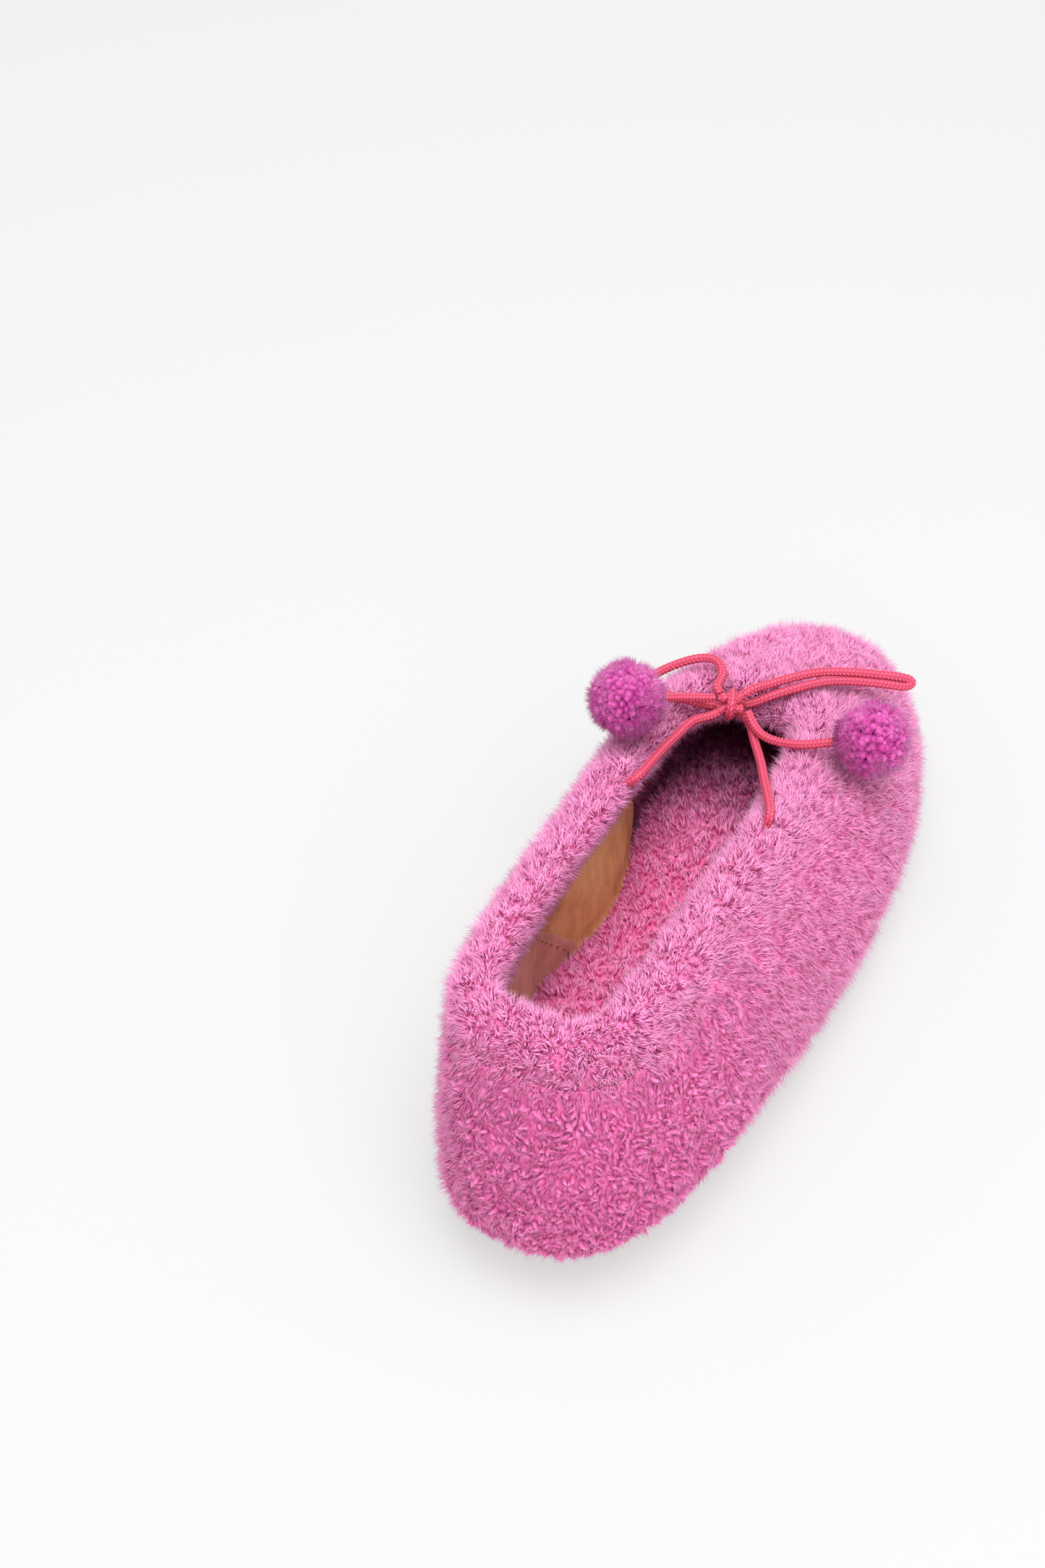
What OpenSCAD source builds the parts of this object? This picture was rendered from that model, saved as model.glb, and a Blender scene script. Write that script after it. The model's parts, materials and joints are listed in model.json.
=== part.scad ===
// Shearling ballerina slipper, right foot, with a drawcord tied in a bow
// and a yarn pom-pom on each cord end. Millimetres.
// +Y points to the toe, +X to the lateral side and +Z up. The floor is Z = 0
// and the origin lies under the middle of the shoe's outline.

/* [Last] */
// Length of the last from heel to toe
last_l = 248; // [225:1:270]
// Lateral half-width weight at the heel
lateral_heel = 39.5; // [36:0.5:43]
// Lateral half-width weight at the heel seat
lateral_seat = 42.5; // [39:0.5:46]
// Lateral half-width weight at the waist
lateral_waist = 35; // [32:0.5:38]
// Lateral half-width weight at the ball
lateral_ball = 53; // [49:0.5:57]
// Lateral half-width weight at the toe
lateral_toe = 39; // [36:0.5:42]
// Medial half-width weight at the heel
medial_heel = 36; // [33:0.5:39]
// Medial half-width weight at the heel seat
medial_seat = 40; // [37:0.5:43]
// Medial half-width weight at the waist
medial_waist = 33; // [30:0.5:36]
// Medial half-width weight at the ball
medial_ball = 46; // [43:0.5:49]
// Medial half-width weight at the toe
medial_toe = 34.5; // [32:0.5:37]
// Squareness of the heel outline, smaller is squarer
heel_round = 0.65; // [0.57:0.01:0.72]
// Squareness of the toe outline, smaller is squarer
toe_round = 0.84; // [0.75:0.01:0.92]
// Depth of the hollow in the medial outline under the arch of the foot
arch_in = 9.5; // [7:0.5:11]
// Place of the deepest point of that hollow, as a share of the length
arch_at = 0.5; // [0.47:0.01:0.53]
// Half-length of that hollow, as a share of the length
arch_l = 0.19; // [0.17:0.01:0.21]
// Sideways place of the last's own centre line
last_shift = -2; // [-4:0.1:0]
// Height of the widest line above the feather line at the heel
rise_heel = 6.5; // [6:0.5:8]
// Height of the widest line above the feather line at the waist
rise_waist = 12; // [10:0.5:15]
// Height of the widest line above the feather line at the toe
rise_toe = 6; // [5.5:0.5:8]

/* [Topline] */
// Back end of the mouth
mouth_back = -105.5; // [-108:0.5:-101]
// Front end of the mouth, the throat
mouth_front = 74.5; // [71:0.5:78]
// Mouth half-width weight at the back
mouth_w_back = 31; // [29:0.5:33]
// Mouth half-width weight at the quarters
mouth_w_quarter = 20; // [18:0.5:23]
// Mouth half-width weight at the sides
mouth_w_side = 25.5; // [23:0.5:28]
// Mouth half-width weight at the throat
mouth_w_throat = 32.5; // [30:0.5:35]
// Squareness of the back of the mouth, smaller is squarer
mouth_back_round = 0.53; // [0.5:0.01:0.65]
// Squareness of the throat, smaller is squarer
throat_round = 0.58; // [0.52:0.01:0.65]
// Sideways place of the mouth from the last's centre line
mouth_shift = -6; // [-8:0.5:-4]
// Height of the topline at the back
collar_back = 73; // [68:0.5:78]
// Height weight of the topline at the quarters
collar_quarter = 66; // [61:0.5:70]
// Height weight of the topline at the sides
collar_side = 49; // [46:0.5:52]
// Height of the topline at the throat
collar_throat = 43; // [40:0.5:45]
// Turn of the wall from the widest line to the topline at the heel
turn_heel = 59; // [54:1:64]
// Turn of the wall from the widest line to the topline at the toe
turn_toe = 64; // [60:1:68]

/* [Upper] */
// Thickness of the sheepskin
skin_t = 1.5; // [1:0.1:2]
// Length of the wool on the skin
pile_l = 9; // [7:0.5:11]
// Length of the wool at the lower edge, where the floor presses it
hem_pile_l = 2.5; // [1.5:0.5:4]
// Length of the wool rolled over the inner side of the collar
roll_pile_l = 5; // [4.5:0.5:6.5]
// Length of the wool at the collar's inner edge, as a share of the roll's
roll_taper = 0.85; // [0.8:0.05:0.95]
// Width of the margin that is lasted under the board
margin_w = 14; // [10:0.5:16]
// Thickness of the lasted margin
margin_t = 1.3; // [1:0.1:1.6]
// Place of the side seams between vamp and quarters, around the last
side_seam = 110; // [105:5:115]
// Thickness of the linings
lining_t = 1.2; // [0.8:0.1:1.5]
// Thickness of the heel counter and the toe puff
stiffener_t = 0.8; // [0.6:0.1:1.2]
// Half-width of the heel counter, around the last
counter_span = 60; // [50:5:70]
// Half-width of the toe puff, around the last
puff_span = 45; // [35:5:55]
// Thickness of the suede heel grip
grip_t = 1.2; // [0.8:0.1:1.5]
// Half-width of the heel grip, around the last
grip_span = 80; // [70:5:85]
// Clearance between pieces that lie face to face
seat_gap = 0.2; // [0.15:0.05:0.25]

/* [Heel grip seam] */
// Diameter of the thread
thread_d = 0.6; // [0.4:0.1:0.8]
// Length of a stitch
stitch_l = 2.2; // [1.6:0.1:2.6]
// Stitches in each seam
stitch_n = 9; // [5:1:11]
// Distance of the seam from the edge of the grip
stitch_edge = 2.5; // [2:0.5:4]

/* [Sole] */
// Thickness of the outsole leather
outsole_t = 3.5; // [3:0.1:4.5]
// How far the outsole edge lies inside the feather line
outsole_inset = 4; // [3:0.5:6]
// Thickness of each stacked heel lift
lift_t = 2; // [1.5:0.1:2.5]
// Thickness of the heel's tread pieces
tread_t = 2.5; // [2:0.1:3.5]
// How far the heel edge lies inside the feather line
heel_inset = 2.5; // [2:0.5:4]
// Length of the heel from its back to its corners
heel_l = 56; // [50:1:62]
// Depth of the hollow in the heel breast
breast_hollow = 5; // [3:0.5:7]
// Length of the leather tread piece in front of the rubber one
tread_leather_l = 17; // [13:1:20]
// Length over which the sole drops from the heel seat to the ball
waist_l = 62; // [55:1:70]
// Height of the toe above the floor
toe_spring = 5; // [3:0.5:7]
// Length of the part of the sole that curves up to the toe
spring_l = 59; // [50:1:65]
// Thickness of the insole board
board_t = 2; // [1.5:0.1:2.5]
// Thickness of the footbed foam
foam_t = 3; // [2:0.5:4]
// Length of the wool on the footbed
footbed_pile_l = 8; // [6:0.5:10]
// Crown of the footbed along its middle
footbed_crown = 1; // [0.5:0.5:2]
// Width of the steel shank
shank_w = 12; // [9:0.5:14]
// Length of the steel shank
shank_l = 86; // [75:1:92]
// Thickness of the steel shank
shank_t = 1.2; // [0.8:0.1:1.3]

/* [Cord and pom-poms] */
// Diameter of the cord
cord_d = 3; // [2.4:0.1:3.2]
// Room around the cord in its channel and slots
cord_room = 0.6; // [0.5:0.1:0.9]
// Place of the lateral cord slot, around the mouth
slot_lateral = 104; // [102:1:106]
// Place of the medial cord slot, around the mouth
slot_medial = 256; // [254:1:258]
// Diameter of a pom-pom
pom_d = 27; // [24:0.5:27.4]
// Diameter of the yarn tie in the middle of a pom-pom
tie_d = 7; // [6:0.5:9]
// Width of the yarn tie
tie_w = 4; // [3:0.5:5]
// Clearance around the pieces that swing
swing_gap = 0.4; // [0.3:0.05:0.5]
// Diameter of the core of the knot
knot_d = 8.8; // [8:0.2:9]

/* [Hidden] */

// Colours of the materials
wool_pink = [0.93, 0.53, 0.77];
pom_pink = [0.82, 0.35, 0.66];
coral = [0.88, 0.30, 0.42];
tan_leather = [0.74, 0.52, 0.36];
sole_leather = [0.85, 0.69, 0.54];
stacked_leather = [0.70, 0.37, 0.24];
suede = [0.60, 0.40, 0.34];
rubber_brown = [0.46, 0.35, 0.27];
board_grey = [0.62, 0.55, 0.47];

// The grid that every layer of the upper shares, so that nested layers stay parallel.
col_step = 5;
rows_low = [-1, -0.5];
rows_high = [0, 0.2, 0.4, 0.6, 0.8];
binding_row = 0.8;
fold_row = 0.9;
// Stations along a sole layer
rail_n = 80;

// Angle of the wall where it meets the feather line, and how round it is there
foot_turn = 52;
foot_ratio = 0.8;

// Sole levels above the underside of the outsole
margin_z = outsole_t + 1.5 * seat_gap;
board_z = margin_z + margin_t + seat_gap;
feather_z = board_z + board_t / 2;
foam_z = board_z + board_t + seat_gap;
footbed_z = foam_z + foam_t + seat_gap;
heel_h = tread_t + 2 * lift_t + 3 * seat_gap;

// Stations along the sole
heel_back = -last_l / 2 + heel_inset;
breast_y = heel_back + heel_l;
tread_y = breast_y + waist_l;
spring_y = last_l / 2 - spring_l;
rubber_y = breast_y - tread_leather_l;

// Layers of the upper, as distances from the last's surface, inwards below zero
wool_d = skin_t + pile_l;
lining_in = seat_gap + lining_t;
grip_out = seat_gap + stiffener_t + lining_in + seat_gap;
lining_row = -0.5;

// The knot and the places where the cords leave it
cord_r = cord_d / 2;
knot = [-14, 56.7, 56];
bow_turn = 23.5;
wrap_r = knot_d / 2;

// Routes of the free cord, from the slots or the knot outwards
lead_left_route = [[-25.2, 16, 61.4], [-24.8, 26, 59.2], [-23.5, 38, 56.8], [-22, 46, 55.6]];
lead_right_route = [[9, 26.5, 59], [3.2, 38.5, 54.5], [-2.5, 48.5, 51.5]];
loop_left_route = [[-20.5, 65.5, 57.5], [-23.5, 71, 57.7], [-28, 72.8, 56.8], [-33, 71.3, 55.4], [-37.5, 69, 53.4],
    [-41.5, 66, 51.5], [-43, 61.5, 52], [-41, 55.5, 55], [-37, 51, 58], [-32, 49, 59.4], [-27.5, 50.3, 58.5], [-23.5, 53, 56.2]];
loop_right_route = [[-7, 67, 58], [-1, 73.5, 58], [6, 80.5, 57.3], [15, 86.5, 55.7], [24, 91.5, 53.7], [30.5, 95, 52],
    [33.5, 96, 50.5], [31.5, 93.5, 49.8], [25, 89.5, 52], [16, 84.5, 54], [8.5, 79, 55.5], [1.5, 71.5, 56.2], [-5, 66, 54.8]];
tail_left_route = [[-22.5, 50.5, 61], [-26.5, 46, 63.4]];
tail_right_route = [[-4, 51.7, 54.6], [1, 48.5, 55], [7, 47, 56.7], [13.5, 46.5, 59], [19.5, 48, 61]];
pom_left_at = [-37.5, 28, 74];
pom_right_at = [34, 51.5, 65.5];

// Curves and vectors

function bezier(c, s) = len(c) == 1 ? c[0]
    : bezier([for (i = [0:len(c) - 2]) c[i] * (1 - s) + c[i + 1] * s], s);
function unit(v) = v / norm(v);
function clamp01(x) = max(0, min(1, x));
function ease(x) = let(a = clamp01(x)) a * a * (3 - 2 * a);
// 1 up to a, falling to 0 at b
function ramp(x, a, b) = clamp01((b - x) / (b - a));
function flat(lists) = [for (list = lists, item = list) item];
// Share of the way from heel to toe at an angle t around the last
function share(t) = (1 - cos(t)) / 2;
function is_lateral(t) = sin(t) >= 0;
// Angles of the columns from t0 to t1, on the shared grid between them
function columns(t0, t1) = concat([t0],
    [for (t = [col_step * ceil(t0 / col_step + 0.05):col_step:t1 - 0.1]) t], [t1]);

// Underside of the outsole at a place along the shoe
function ground(y) = heel_h * (1 - ease((y - breast_y) / (tread_y - breast_y)))
    + toe_spring * pow(clamp01((y - spring_y) / spring_l), 2);

// The last: t runs around it from the heel over the lateral side to the toe and back,
// v is -1 at the feather line, 0 at the widest line and 1 at the topline.

// How far the medial side lies inwards under the arch of the foot
function arch(t) = is_lateral(t) ? 0 : arch_in * pow(1 - min(1, pow((share(t) - arch_at) / arch_l, 2)), 2);

function widest(t) = let(
    s = share(t),
    e = heel_round + (toe_round - heel_round) * s,
    w = is_lateral(t)
        ? bezier([lateral_heel, lateral_seat, lateral_waist, lateral_ball, lateral_toe], s)
        : -bezier([medial_heel, medial_seat, medial_waist, medial_ball, medial_toe], s),
    y = -last_l / 2 * cos(t))
    [last_shift + w * pow(abs(sin(t)), e) + arch(t), y, ground(y) + feather_z + bezier([rise_heel, rise_waist, rise_toe], s)];

function topline(t) = let(
    s = share(t),
    e = mouth_back_round + (throat_round - mouth_back_round) * s,
    w = bezier([mouth_w_back, mouth_w_quarter, mouth_w_side, mouth_w_throat], s) * (is_lateral(t) ? 1 : -1))
    [last_shift + mouth_shift + w * pow(abs(sin(t)), e),
     mouth_back + (mouth_front - mouth_back) * s,
     bezier([collar_back, collar_quarter, collar_side, collar_throat], s)];

function plan_normal(t) = let(d = widest(t + 2) - widest(t - 2)) unit([d.y, -d.x]);

function below(t, v) = let(
    w = widest(t), n = plan_normal(t), a = foot_turn * v,
    h = (w.z - ground(w.y) - feather_z) / sin(foot_turn),
    in = foot_ratio * h * (1 - cos(a)))
    [w.x - n.x * in, w.y - n.y * in, w.z + h * sin(a)];

function above(t, v) = let(
    w = widest(t), m = topline(t),
    turn = turn_heel + (turn_toe - turn_heel) * share(t),
    q = (1 - cos(turn * v)) / (1 - cos(turn)),
    r = sin(turn * v) / sin(turn))
    [w.x + (m.x - w.x + arch(t)) * q - arch(t) * ease(v), w.y + (m.y - w.y) * q, w.z + (m.z - w.z) * r];

function last(t, v) = v < 0 ? below(t, v) : above(t, v);
function up_wall(t, v) = unit(last(t, v + 0.03) - last(t, v - 0.03));
function out_wall(t, v) = unit(cross(last(t + 2, v) - last(t - 2, v), last(t, v + 0.03) - last(t, v - 0.03)));
function layer(t, v, d) = last(t, v) + d * out_wall(t, v);
// A point in the section square to the topline, n outwards and h up
function at_topline(t, n, h) = let(out = out_wall(t, 1), rise = unit(cross(out, topline(t + 1) - topline(t - 1))))
    topline(t) + n * out + h * rise;
// Plan point inside the feather line
function edge(t, inset) = let(f = below(t, -1), n = plan_normal(t)) [f.x - n.x * inset, f.y - n.y * inset];
// Middle of the sole, and the inner edge of the margin that is drawn in towards it
function mid_x() = (edge(90, 0).x + edge(270, 0).x) / 2;
function lasted(t) = let(f = edge(t, 0), c = [mid_x(), max(min(f.y, last_l * 0.34), -last_l * 0.36)])
    f + margin_w * unit(c - f);
// Degrees around the mouth that make a length along the topline
function mouth_angle(t, length) = 2 * length / norm(topline(t + 1) - topline(t - 1));

// Wool length, shorter below the widest line
function wool(v) = skin_t + (v < 0 ? pile_l + (pile_l - hem_pile_l) * v : pile_l);
// 1 where a stiffener lies between skin and lining, 0 where none does
function stiffened(t, v) = let(a = abs(t - 360 * round(t / 360)), b = abs(t - 360 * floor(t / 360) - 180)) max(
    ramp(a, counter_span, counter_span + 15),
    ramp(b, puff_span, puff_span + 15) * ramp(v, 0.4, 0.6));
function lining_out(t, v) = -seat_gap - (stiffener_t + seat_gap) * stiffened(t, v);

// Solids

function triangles(quads) = [for (q = quads, f = [[q[0], q[1], q[2]], [q[0], q[2], q[3]]]) f];

// A closed solid between two nets of points, columns by rows: outer and inner
module between(outer, inner) {
    n = len(outer) - 1;
    m = len(outer[0]) - 1;
    half = (n + 1) * (m + 1);
    function o(i, j) = i * (m + 1) + j;
    function k(i, j) = half + o(i, j);
    polyhedron(concat(flat(outer), flat(inner)), triangles(concat(
        [for (i = [0:n - 1], j = [0:m - 1]) [o(i, j), o(i, j + 1), o(i + 1, j + 1), o(i + 1, j)]],
        [for (i = [0:n - 1], j = [0:m - 1]) [k(i, j), k(i + 1, j), k(i + 1, j + 1), k(i, j + 1)]],
        [for (i = [0:n - 1]) [o(i, 0), o(i + 1, 0), k(i + 1, 0), k(i, 0)]],
        [for (i = [0:n - 1]) [o(i + 1, m), o(i, m), k(i, m), k(i + 1, m)]],
        [for (j = [0:m - 1]) [o(0, j + 1), o(0, j), k(0, j), k(0, j + 1)]],
        [for (j = [0:m - 1]) [o(n, j + 1), k(n, j + 1), k(n, j), o(n, j)]])));
}

// A layer of the wall from t0 to t1 over the given rows, between two distances from the last
module wall(t0, t1, rows, outside, inside) {
    t_list = columns(t0, t1);
    between(
        [for (t = t_list) [for (v = rows) layer(t, v, outside(t, v))]],
        [for (t = t_list) [for (v = rows) layer(t, v, inside(t, v))]]);
}

// A slab that follows the sole, between rails of lateral and medial plan points
module slab(rails, low, high, crown = 0) {
    function row(p, z, c) = let(m = (p[0] + p[1]) / 2)
        [[p[1].x, p[1].y, z(p[1].y)], [m.x, m.y, z(m.y) + c], [p[0].x, p[0].y, z(p[0].y)]];
    between(
        [for (p = rails) row(p, low, 0)],
        [for (p = rails) row(p, high, crown)]);
}

// Rails of an inset sole outline, from t0 to t1 on the lateral side
function rails(inset, t0 = 1, t1 = 179) = [for (i = [0:rail_n]) let(
    u = i / rail_n, t = t0 + (t1 - t0) * (u - sin(360 * u) / 9)) [edge(t, inset), edge(-t, inset)]];

// Normals carried along a route without twist
function carried(tangents, n, i = 0) = i == len(tangents) ? []
    : let(m = unit(n - (n * tangents[i]) * tangents[i])) concat([m], carried(tangents, m, i + 1));

// A round cord along a route, with a flat or a rounded start
module cord(route, d, round_start = false, sides = 8) {
    r = d / 2;
    n = len(route) - 1;
    tan = [for (i = [0:n]) unit(route[min(n, i + 1)] - route[max(0, i - 1)])];
    nor = carried(tan, cross(tan[0], abs(tan[0].z) < 0.9 ? [0, 0, 1] : [1, 0, 0]));
    // Each ring: place, radius, frame
    rings = concat(
        round_start ? [for (a = [75, 45]) [route[0] - tan[0] * r * sin(a), r * cos(a), 0]] : [],
        [for (i = [0:n]) [route[i], r, i]]);
    last_ring = len(rings) - 1;
    points = [for (g = rings, k = [0:sides - 1]) let(a = 360 * k / sides, t = tan[g[2]], u = nor[g[2]])
        g[0] + g[1] * (cos(a) * u + sin(a) * cross(t, u))];
    polyhedron(points, concat(
        [[for (k = [0:sides - 1]) k]],
        [[for (k = [sides - 1:-1:0]) last_ring * sides + k]],
        triangles([for (i = [0:last_ring - 1], k = [0:sides - 1]) let(q = (k + 1) % sides)
            [i * sides + k, (i + 1) * sides + k, (i + 1) * sides + q, i * sides + q]])));
}

// Turns +Z along a direction
module along(at, dir) {
    translate(at) rotate([0, acos(unit(dir).z), atan2(dir.y, dir.x)]) children();
}

// Sole

// Plan outline of the heel, with its hollow breast, grown by a distance
module heel_outline(front, back = heel_back - 10) {
    t_corner = acos(-breast_y / (last_l / 2));
    corner_a = edge(t_corner, heel_inset);
    corner_b = edge(-t_corner, heel_inset);
    chord = norm(corner_a - corner_b);
    breast_r = (chord * chord / 4 + breast_hollow * breast_hollow) / (2 * breast_hollow);
    mid = (corner_a + corner_b) / 2;
    intersection() {
        difference() {
            polygon([for (i = [-12:12]) edge(t_corner * i / 12, heel_inset)]);
            translate([mid.x, mid.y - breast_hollow + breast_r]) circle(breast_r, $fn = 120);
        }
        translate([-last_l, back]) square([2 * last_l, front - back]);
    }
}

module outsole() {
    color(sole_leather) slab(rails(outsole_inset), function (y) ground(y), function (y) ground(y) + outsole_t);
}

module heel_lift(z) {
    translate([0, 0, z]) linear_extrude(lift_t) heel_outline(breast_y + 10);
}

module heel_lift_upper() {
    color(stacked_leather) heel_lift(heel_h - lift_t - seat_gap);
}

module heel_lift_lower() {
    color(stacked_leather) heel_lift(tread_t + seat_gap);
}

module heel_tread_rubber() {
    color(rubber_brown) linear_extrude(tread_t) heel_outline(rubber_y - seat_gap / 2);
}

module heel_tread_leather() {
    color(sole_leather) linear_extrude(tread_t) heel_outline(breast_y + 10, rubber_y + seat_gap / 2);
}

module insole_board() {
    color(board_grey) slab(rails(seat_gap), function (y) ground(y) + board_z, function (y) ground(y) + board_z + board_t);
}

module shank() {
    y0 = tread_y + 8 - shank_l;
    x_mid = mid_x();
    shank_z = margin_z + (board_z - margin_z - shank_t) * 0.4;
    color("silver") slab(
        [for (i = [0:12]) let(y = y0 + shank_l * i / 12, w = shank_w / 2 * min(1, 0.6 + min(i, 12 - i) * 0.2))
            [[x_mid + w, y], [x_mid - w, y]]],
        function (y) ground(y) + shank_z, function (y) ground(y) + shank_z + shank_t);
}

module bottom_filler() {
    t0 = acos(-(tread_y + 10) / (last_l / 2));
    color(board_grey) slab(rails(margin_w + 2 * seat_gap, t0, 176),
        function (y) ground(y) + margin_z, function (y) ground(y) + margin_z + margin_t);
}

// The footbed stays inside the linings and the heel grip.
footbed_inset = grip_out + grip_t + seat_gap;

module footbed_foam() {
    color("wheat") slab(rails(footbed_inset), function (y) ground(y) + foam_z, function (y) ground(y) + foam_z + foam_t);
}

module footbed_shearling() {
    color(wool_pink) slab(rails(footbed_inset), function (y) ground(y) + footbed_z,
        function (y) ground(y) + footbed_z + footbed_pile_l, footbed_crown);
}

// Upper

// Sheepskin with its wool, from the lasted margin under the board to the binding
module sheepskin(t0, t1) {
    t_list = columns(t0, t1);
    rows = concat(rows_low, rows_high);
    function under(p, z) = [p.x, p.y, ground(p.y) + z];
    color(wool_pink) between(
        [for (t = t_list) concat([under(lasted(t), margin_z), under(edge(t, 0), margin_z)],
            [for (v = rows) layer(t, v, wool(v))])],
        [for (t = t_list) concat([under(lasted(t), margin_z + margin_t), under(edge(t, 0), margin_z + margin_t)],
            [for (v = rows) layer(t, v, 0)])]);
}

module vamp() {
    sheepskin(side_seam, 360 - side_seam);
}

module quarter_lateral() {
    sheepskin(0, side_seam);
}

module quarter_medial() {
    sheepskin(360 - side_seam, 360);
}

// Centre of the drawcord's channel, in the fold of the binding above the topline
channel_h = cord_r + cord_room + seat_gap;
function channel(t) = at_topline(t, 0, channel_h);

// Sheepskin strip folded over the topline and around the drawcord
module binding(t0, t1) {
    t_list = columns(t0, t1);
    room = cord_r + cord_room;
    out_d = skin_t + seat_gap;
    low = binding_row + seat_gap / 20;
    function inside(t, v) = lining_out(t, v) - lining_t - seat_gap;
    color(wool_pink) between(
        [for (t = t_list) concat(
            [layer(t, low, wool_d), layer(t, fold_row, wool_d)],
            [for (a = [0:30:180]) at_topline(t, (a < 90 ? wool_d : roll_pile_l) * cos(a), wool_d * sin(a))],
            [layer(t, fold_row, -roll_pile_l), layer(t, low, -roll_pile_l * roll_taper)])],
        [for (t = t_list) concat(
            [layer(t, low, out_d), layer(t, fold_row, out_d), at_topline(t, out_d, 0)],
            [for (a = [0:45:180]) at_topline(t, room * cos(a), channel_h + room * sin(a))],
            [layer(t, 1, inside(t, 1)), layer(t, fold_row, inside(t, fold_row)), layer(t, low, inside(t, low))])]);
}

slot_half = cord_r + cord_room;

module collar_binding() {
    binding(slot_medial + mouth_angle(slot_medial, slot_half), 360 + slot_lateral - mouth_angle(slot_lateral, slot_half));
}

module throat_binding() {
    binding(slot_lateral + mouth_angle(slot_lateral, slot_half), slot_medial - mouth_angle(slot_medial, slot_half));
}

// Linings and stiffeners

module lining(t0, t1) {
    wall(t0, t1, concat([lining_row], rows_high, [fold_row, 1]),
        function (t, v) lining_out(t, v), function (t, v) lining_out(t, v) - lining_t);
}

module vamp_lining() {
    color(wool_pink) lining(side_seam, 360 - side_seam);
}

module quarter_lining() {
    color(tan_leather) lining(360 - side_seam, 360 + side_seam);
}

module stiffener(t0, t1, rows) {
    color(board_grey) wall(t0, t1, rows, function (t, v) -seat_gap, function (t, v) -seat_gap - stiffener_t);
}

module heel_counter() {
    stiffener(-counter_span, counter_span, [-0.5, 0, 0.2, 0.4, 0.6, 0.8]);
}

module toe_puff() {
    stiffener(180 - puff_span, 180 + puff_span, [-0.5, 0, 0.2, 0.4]);
}

module heel_grip() {
    color(suede) wall(-grip_span, grip_span, concat([lining_row], rows_high),
        function (t, v) lining_out(t, v) - lining_t - seat_gap,
        function (t, v) lining_out(t, v) - lining_t - seat_gap - grip_t);
}

module heel_grip_stitching() {
    t_seam = grip_span - stitch_edge / (last_l / 360 * 1.6);
    color("sienna") for (side = [-1, 1], i = [0:stitch_n - 1]) {
        v = (i + 0.5) / stitch_n * 0.75;
        t = side * t_seam;
        d = lining_out(t, v) - lining_t - seat_gap - grip_t - thread_d / 2 - 2 * seat_gap;
        along(layer(t, v, d), up_wall(t, v)) translate([0, 0, -stitch_l / 2]) cylinder(d = thread_d, h = stitch_l, $fn = 16);
    }
}

// Drawcord and bow

// Directions from the knot, across the bow, towards the toe and up
function bow(a, b, c) = unit([a * cos(bow_turn) - b * sin(bow_turn), a * sin(bow_turn) + b * cos(bow_turn), c]);
lead_left_dir = bow(-0.8, -0.55, -0.15);
lead_right_dir = bow(0.8, -0.45, -0.55);
loop_left_up_dir = bow(-0.7, 0.7, 0.35);
loop_left_low_dir = bow(-0.9, 0.2, -0.3);
loop_right_up_dir = bow(0.8, 0.4, 0.5);
loop_right_low_dir = bow(0.8, 0.45, -0.4);
tail_left_dir = bow(-0.85, -0.1, 0.55);
tail_right_dir = bow(0.75, -0.6, 0.2);
// A cord fixed in the knot leaves its core squarely, and one that swings starts with a ball beside it.
function from_knot(dir) = [for (h = [0, cord_d]) knot + dir * (knot_d / 2 + seat_gap + h)];
function to_knot(dir) = [for (h = [cord_d, 0]) knot + dir * (knot_d / 2 + seat_gap + h)];
function at_swing(dir) = knot + dir * (knot_d / 2 + swing_gap + cord_r);

module drawcord() {
    t0 = slot_medial;
    t1 = 360 + slot_lateral;
    color(coral) cord([for (t = columns(t0, t1)) channel(t)], cord_d);
}

// A lead rises from the end of the drawcord through the slot, at an angle across the topline.
module lead(t, turn, route, dir) {
    out = at_topline(t, (wool_d + cord_d) * cos(turn), (wool_d + cord_d) * sin(turn));
    start = channel(t) + (cord_r + seat_gap) * unit(out - channel(t));
    color(coral) cord(concat([start, (start + out) / 2, out], route, to_knot(dir)), cord_d);
}

module cord_lead_left() {
    lead(slot_medial, 90, lead_left_route, lead_left_dir);
}

module cord_lead_right() {
    lead(slot_lateral, 20, lead_right_route, lead_right_dir);
}

module bow_knot() {
    color(coral) translate(knot) rotate([0, 90, bow_turn]) {
        sphere(d = knot_d, $fn = 48);
        rotate_extrude($fn = 64) translate([wrap_r, 0]) circle(d = cord_d, $fn = 32);
    }
}

module bow_loop_left() {
    color(coral) cord(concat(from_knot(loop_left_up_dir), loop_left_route, to_knot(loop_left_low_dir)), cord_d);
}

module bow_loop_right() {
    color(coral) cord(concat(from_knot(loop_right_up_dir), loop_right_route, to_knot(loop_right_low_dir)), cord_d);
}

// A tail swings at the knot and ends inside its pom-pom's tie.
module tail(dir, route, pom) {
    in = unit(pom - route[len(route) - 1]);
    color(coral) cord(concat([at_swing(dir)], route, [pom - in * pom_d / 2, pom]), cord_d, true);
}

module cord_tail_left() {
    tail(tail_left_dir, tail_left_route, pom_left_at);
}

module cord_tail_right() {
    tail(tail_right_dir, tail_right_route, pom_right_at);
}

// Wool ball with a bore for the cord and a pocket for the tie
module pom(at, route) {
    in = unit(at - route[len(route) - 1]);
    color(pom_pink) along(at, -in) difference() {
        sphere(d = pom_d, $fn = 72);
        cylinder(r = cord_r + swing_gap, h = pom_d, $fn = 32);
        translate([0, 0, -tie_w / 2]) cylinder(d = tie_d, h = tie_w, $fn = 32);
    }
}

module pom_left() {
    pom(pom_left_at, tail_left_route);
}

module pom_right() {
    pom(pom_right_at, tail_right_route);
}

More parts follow.
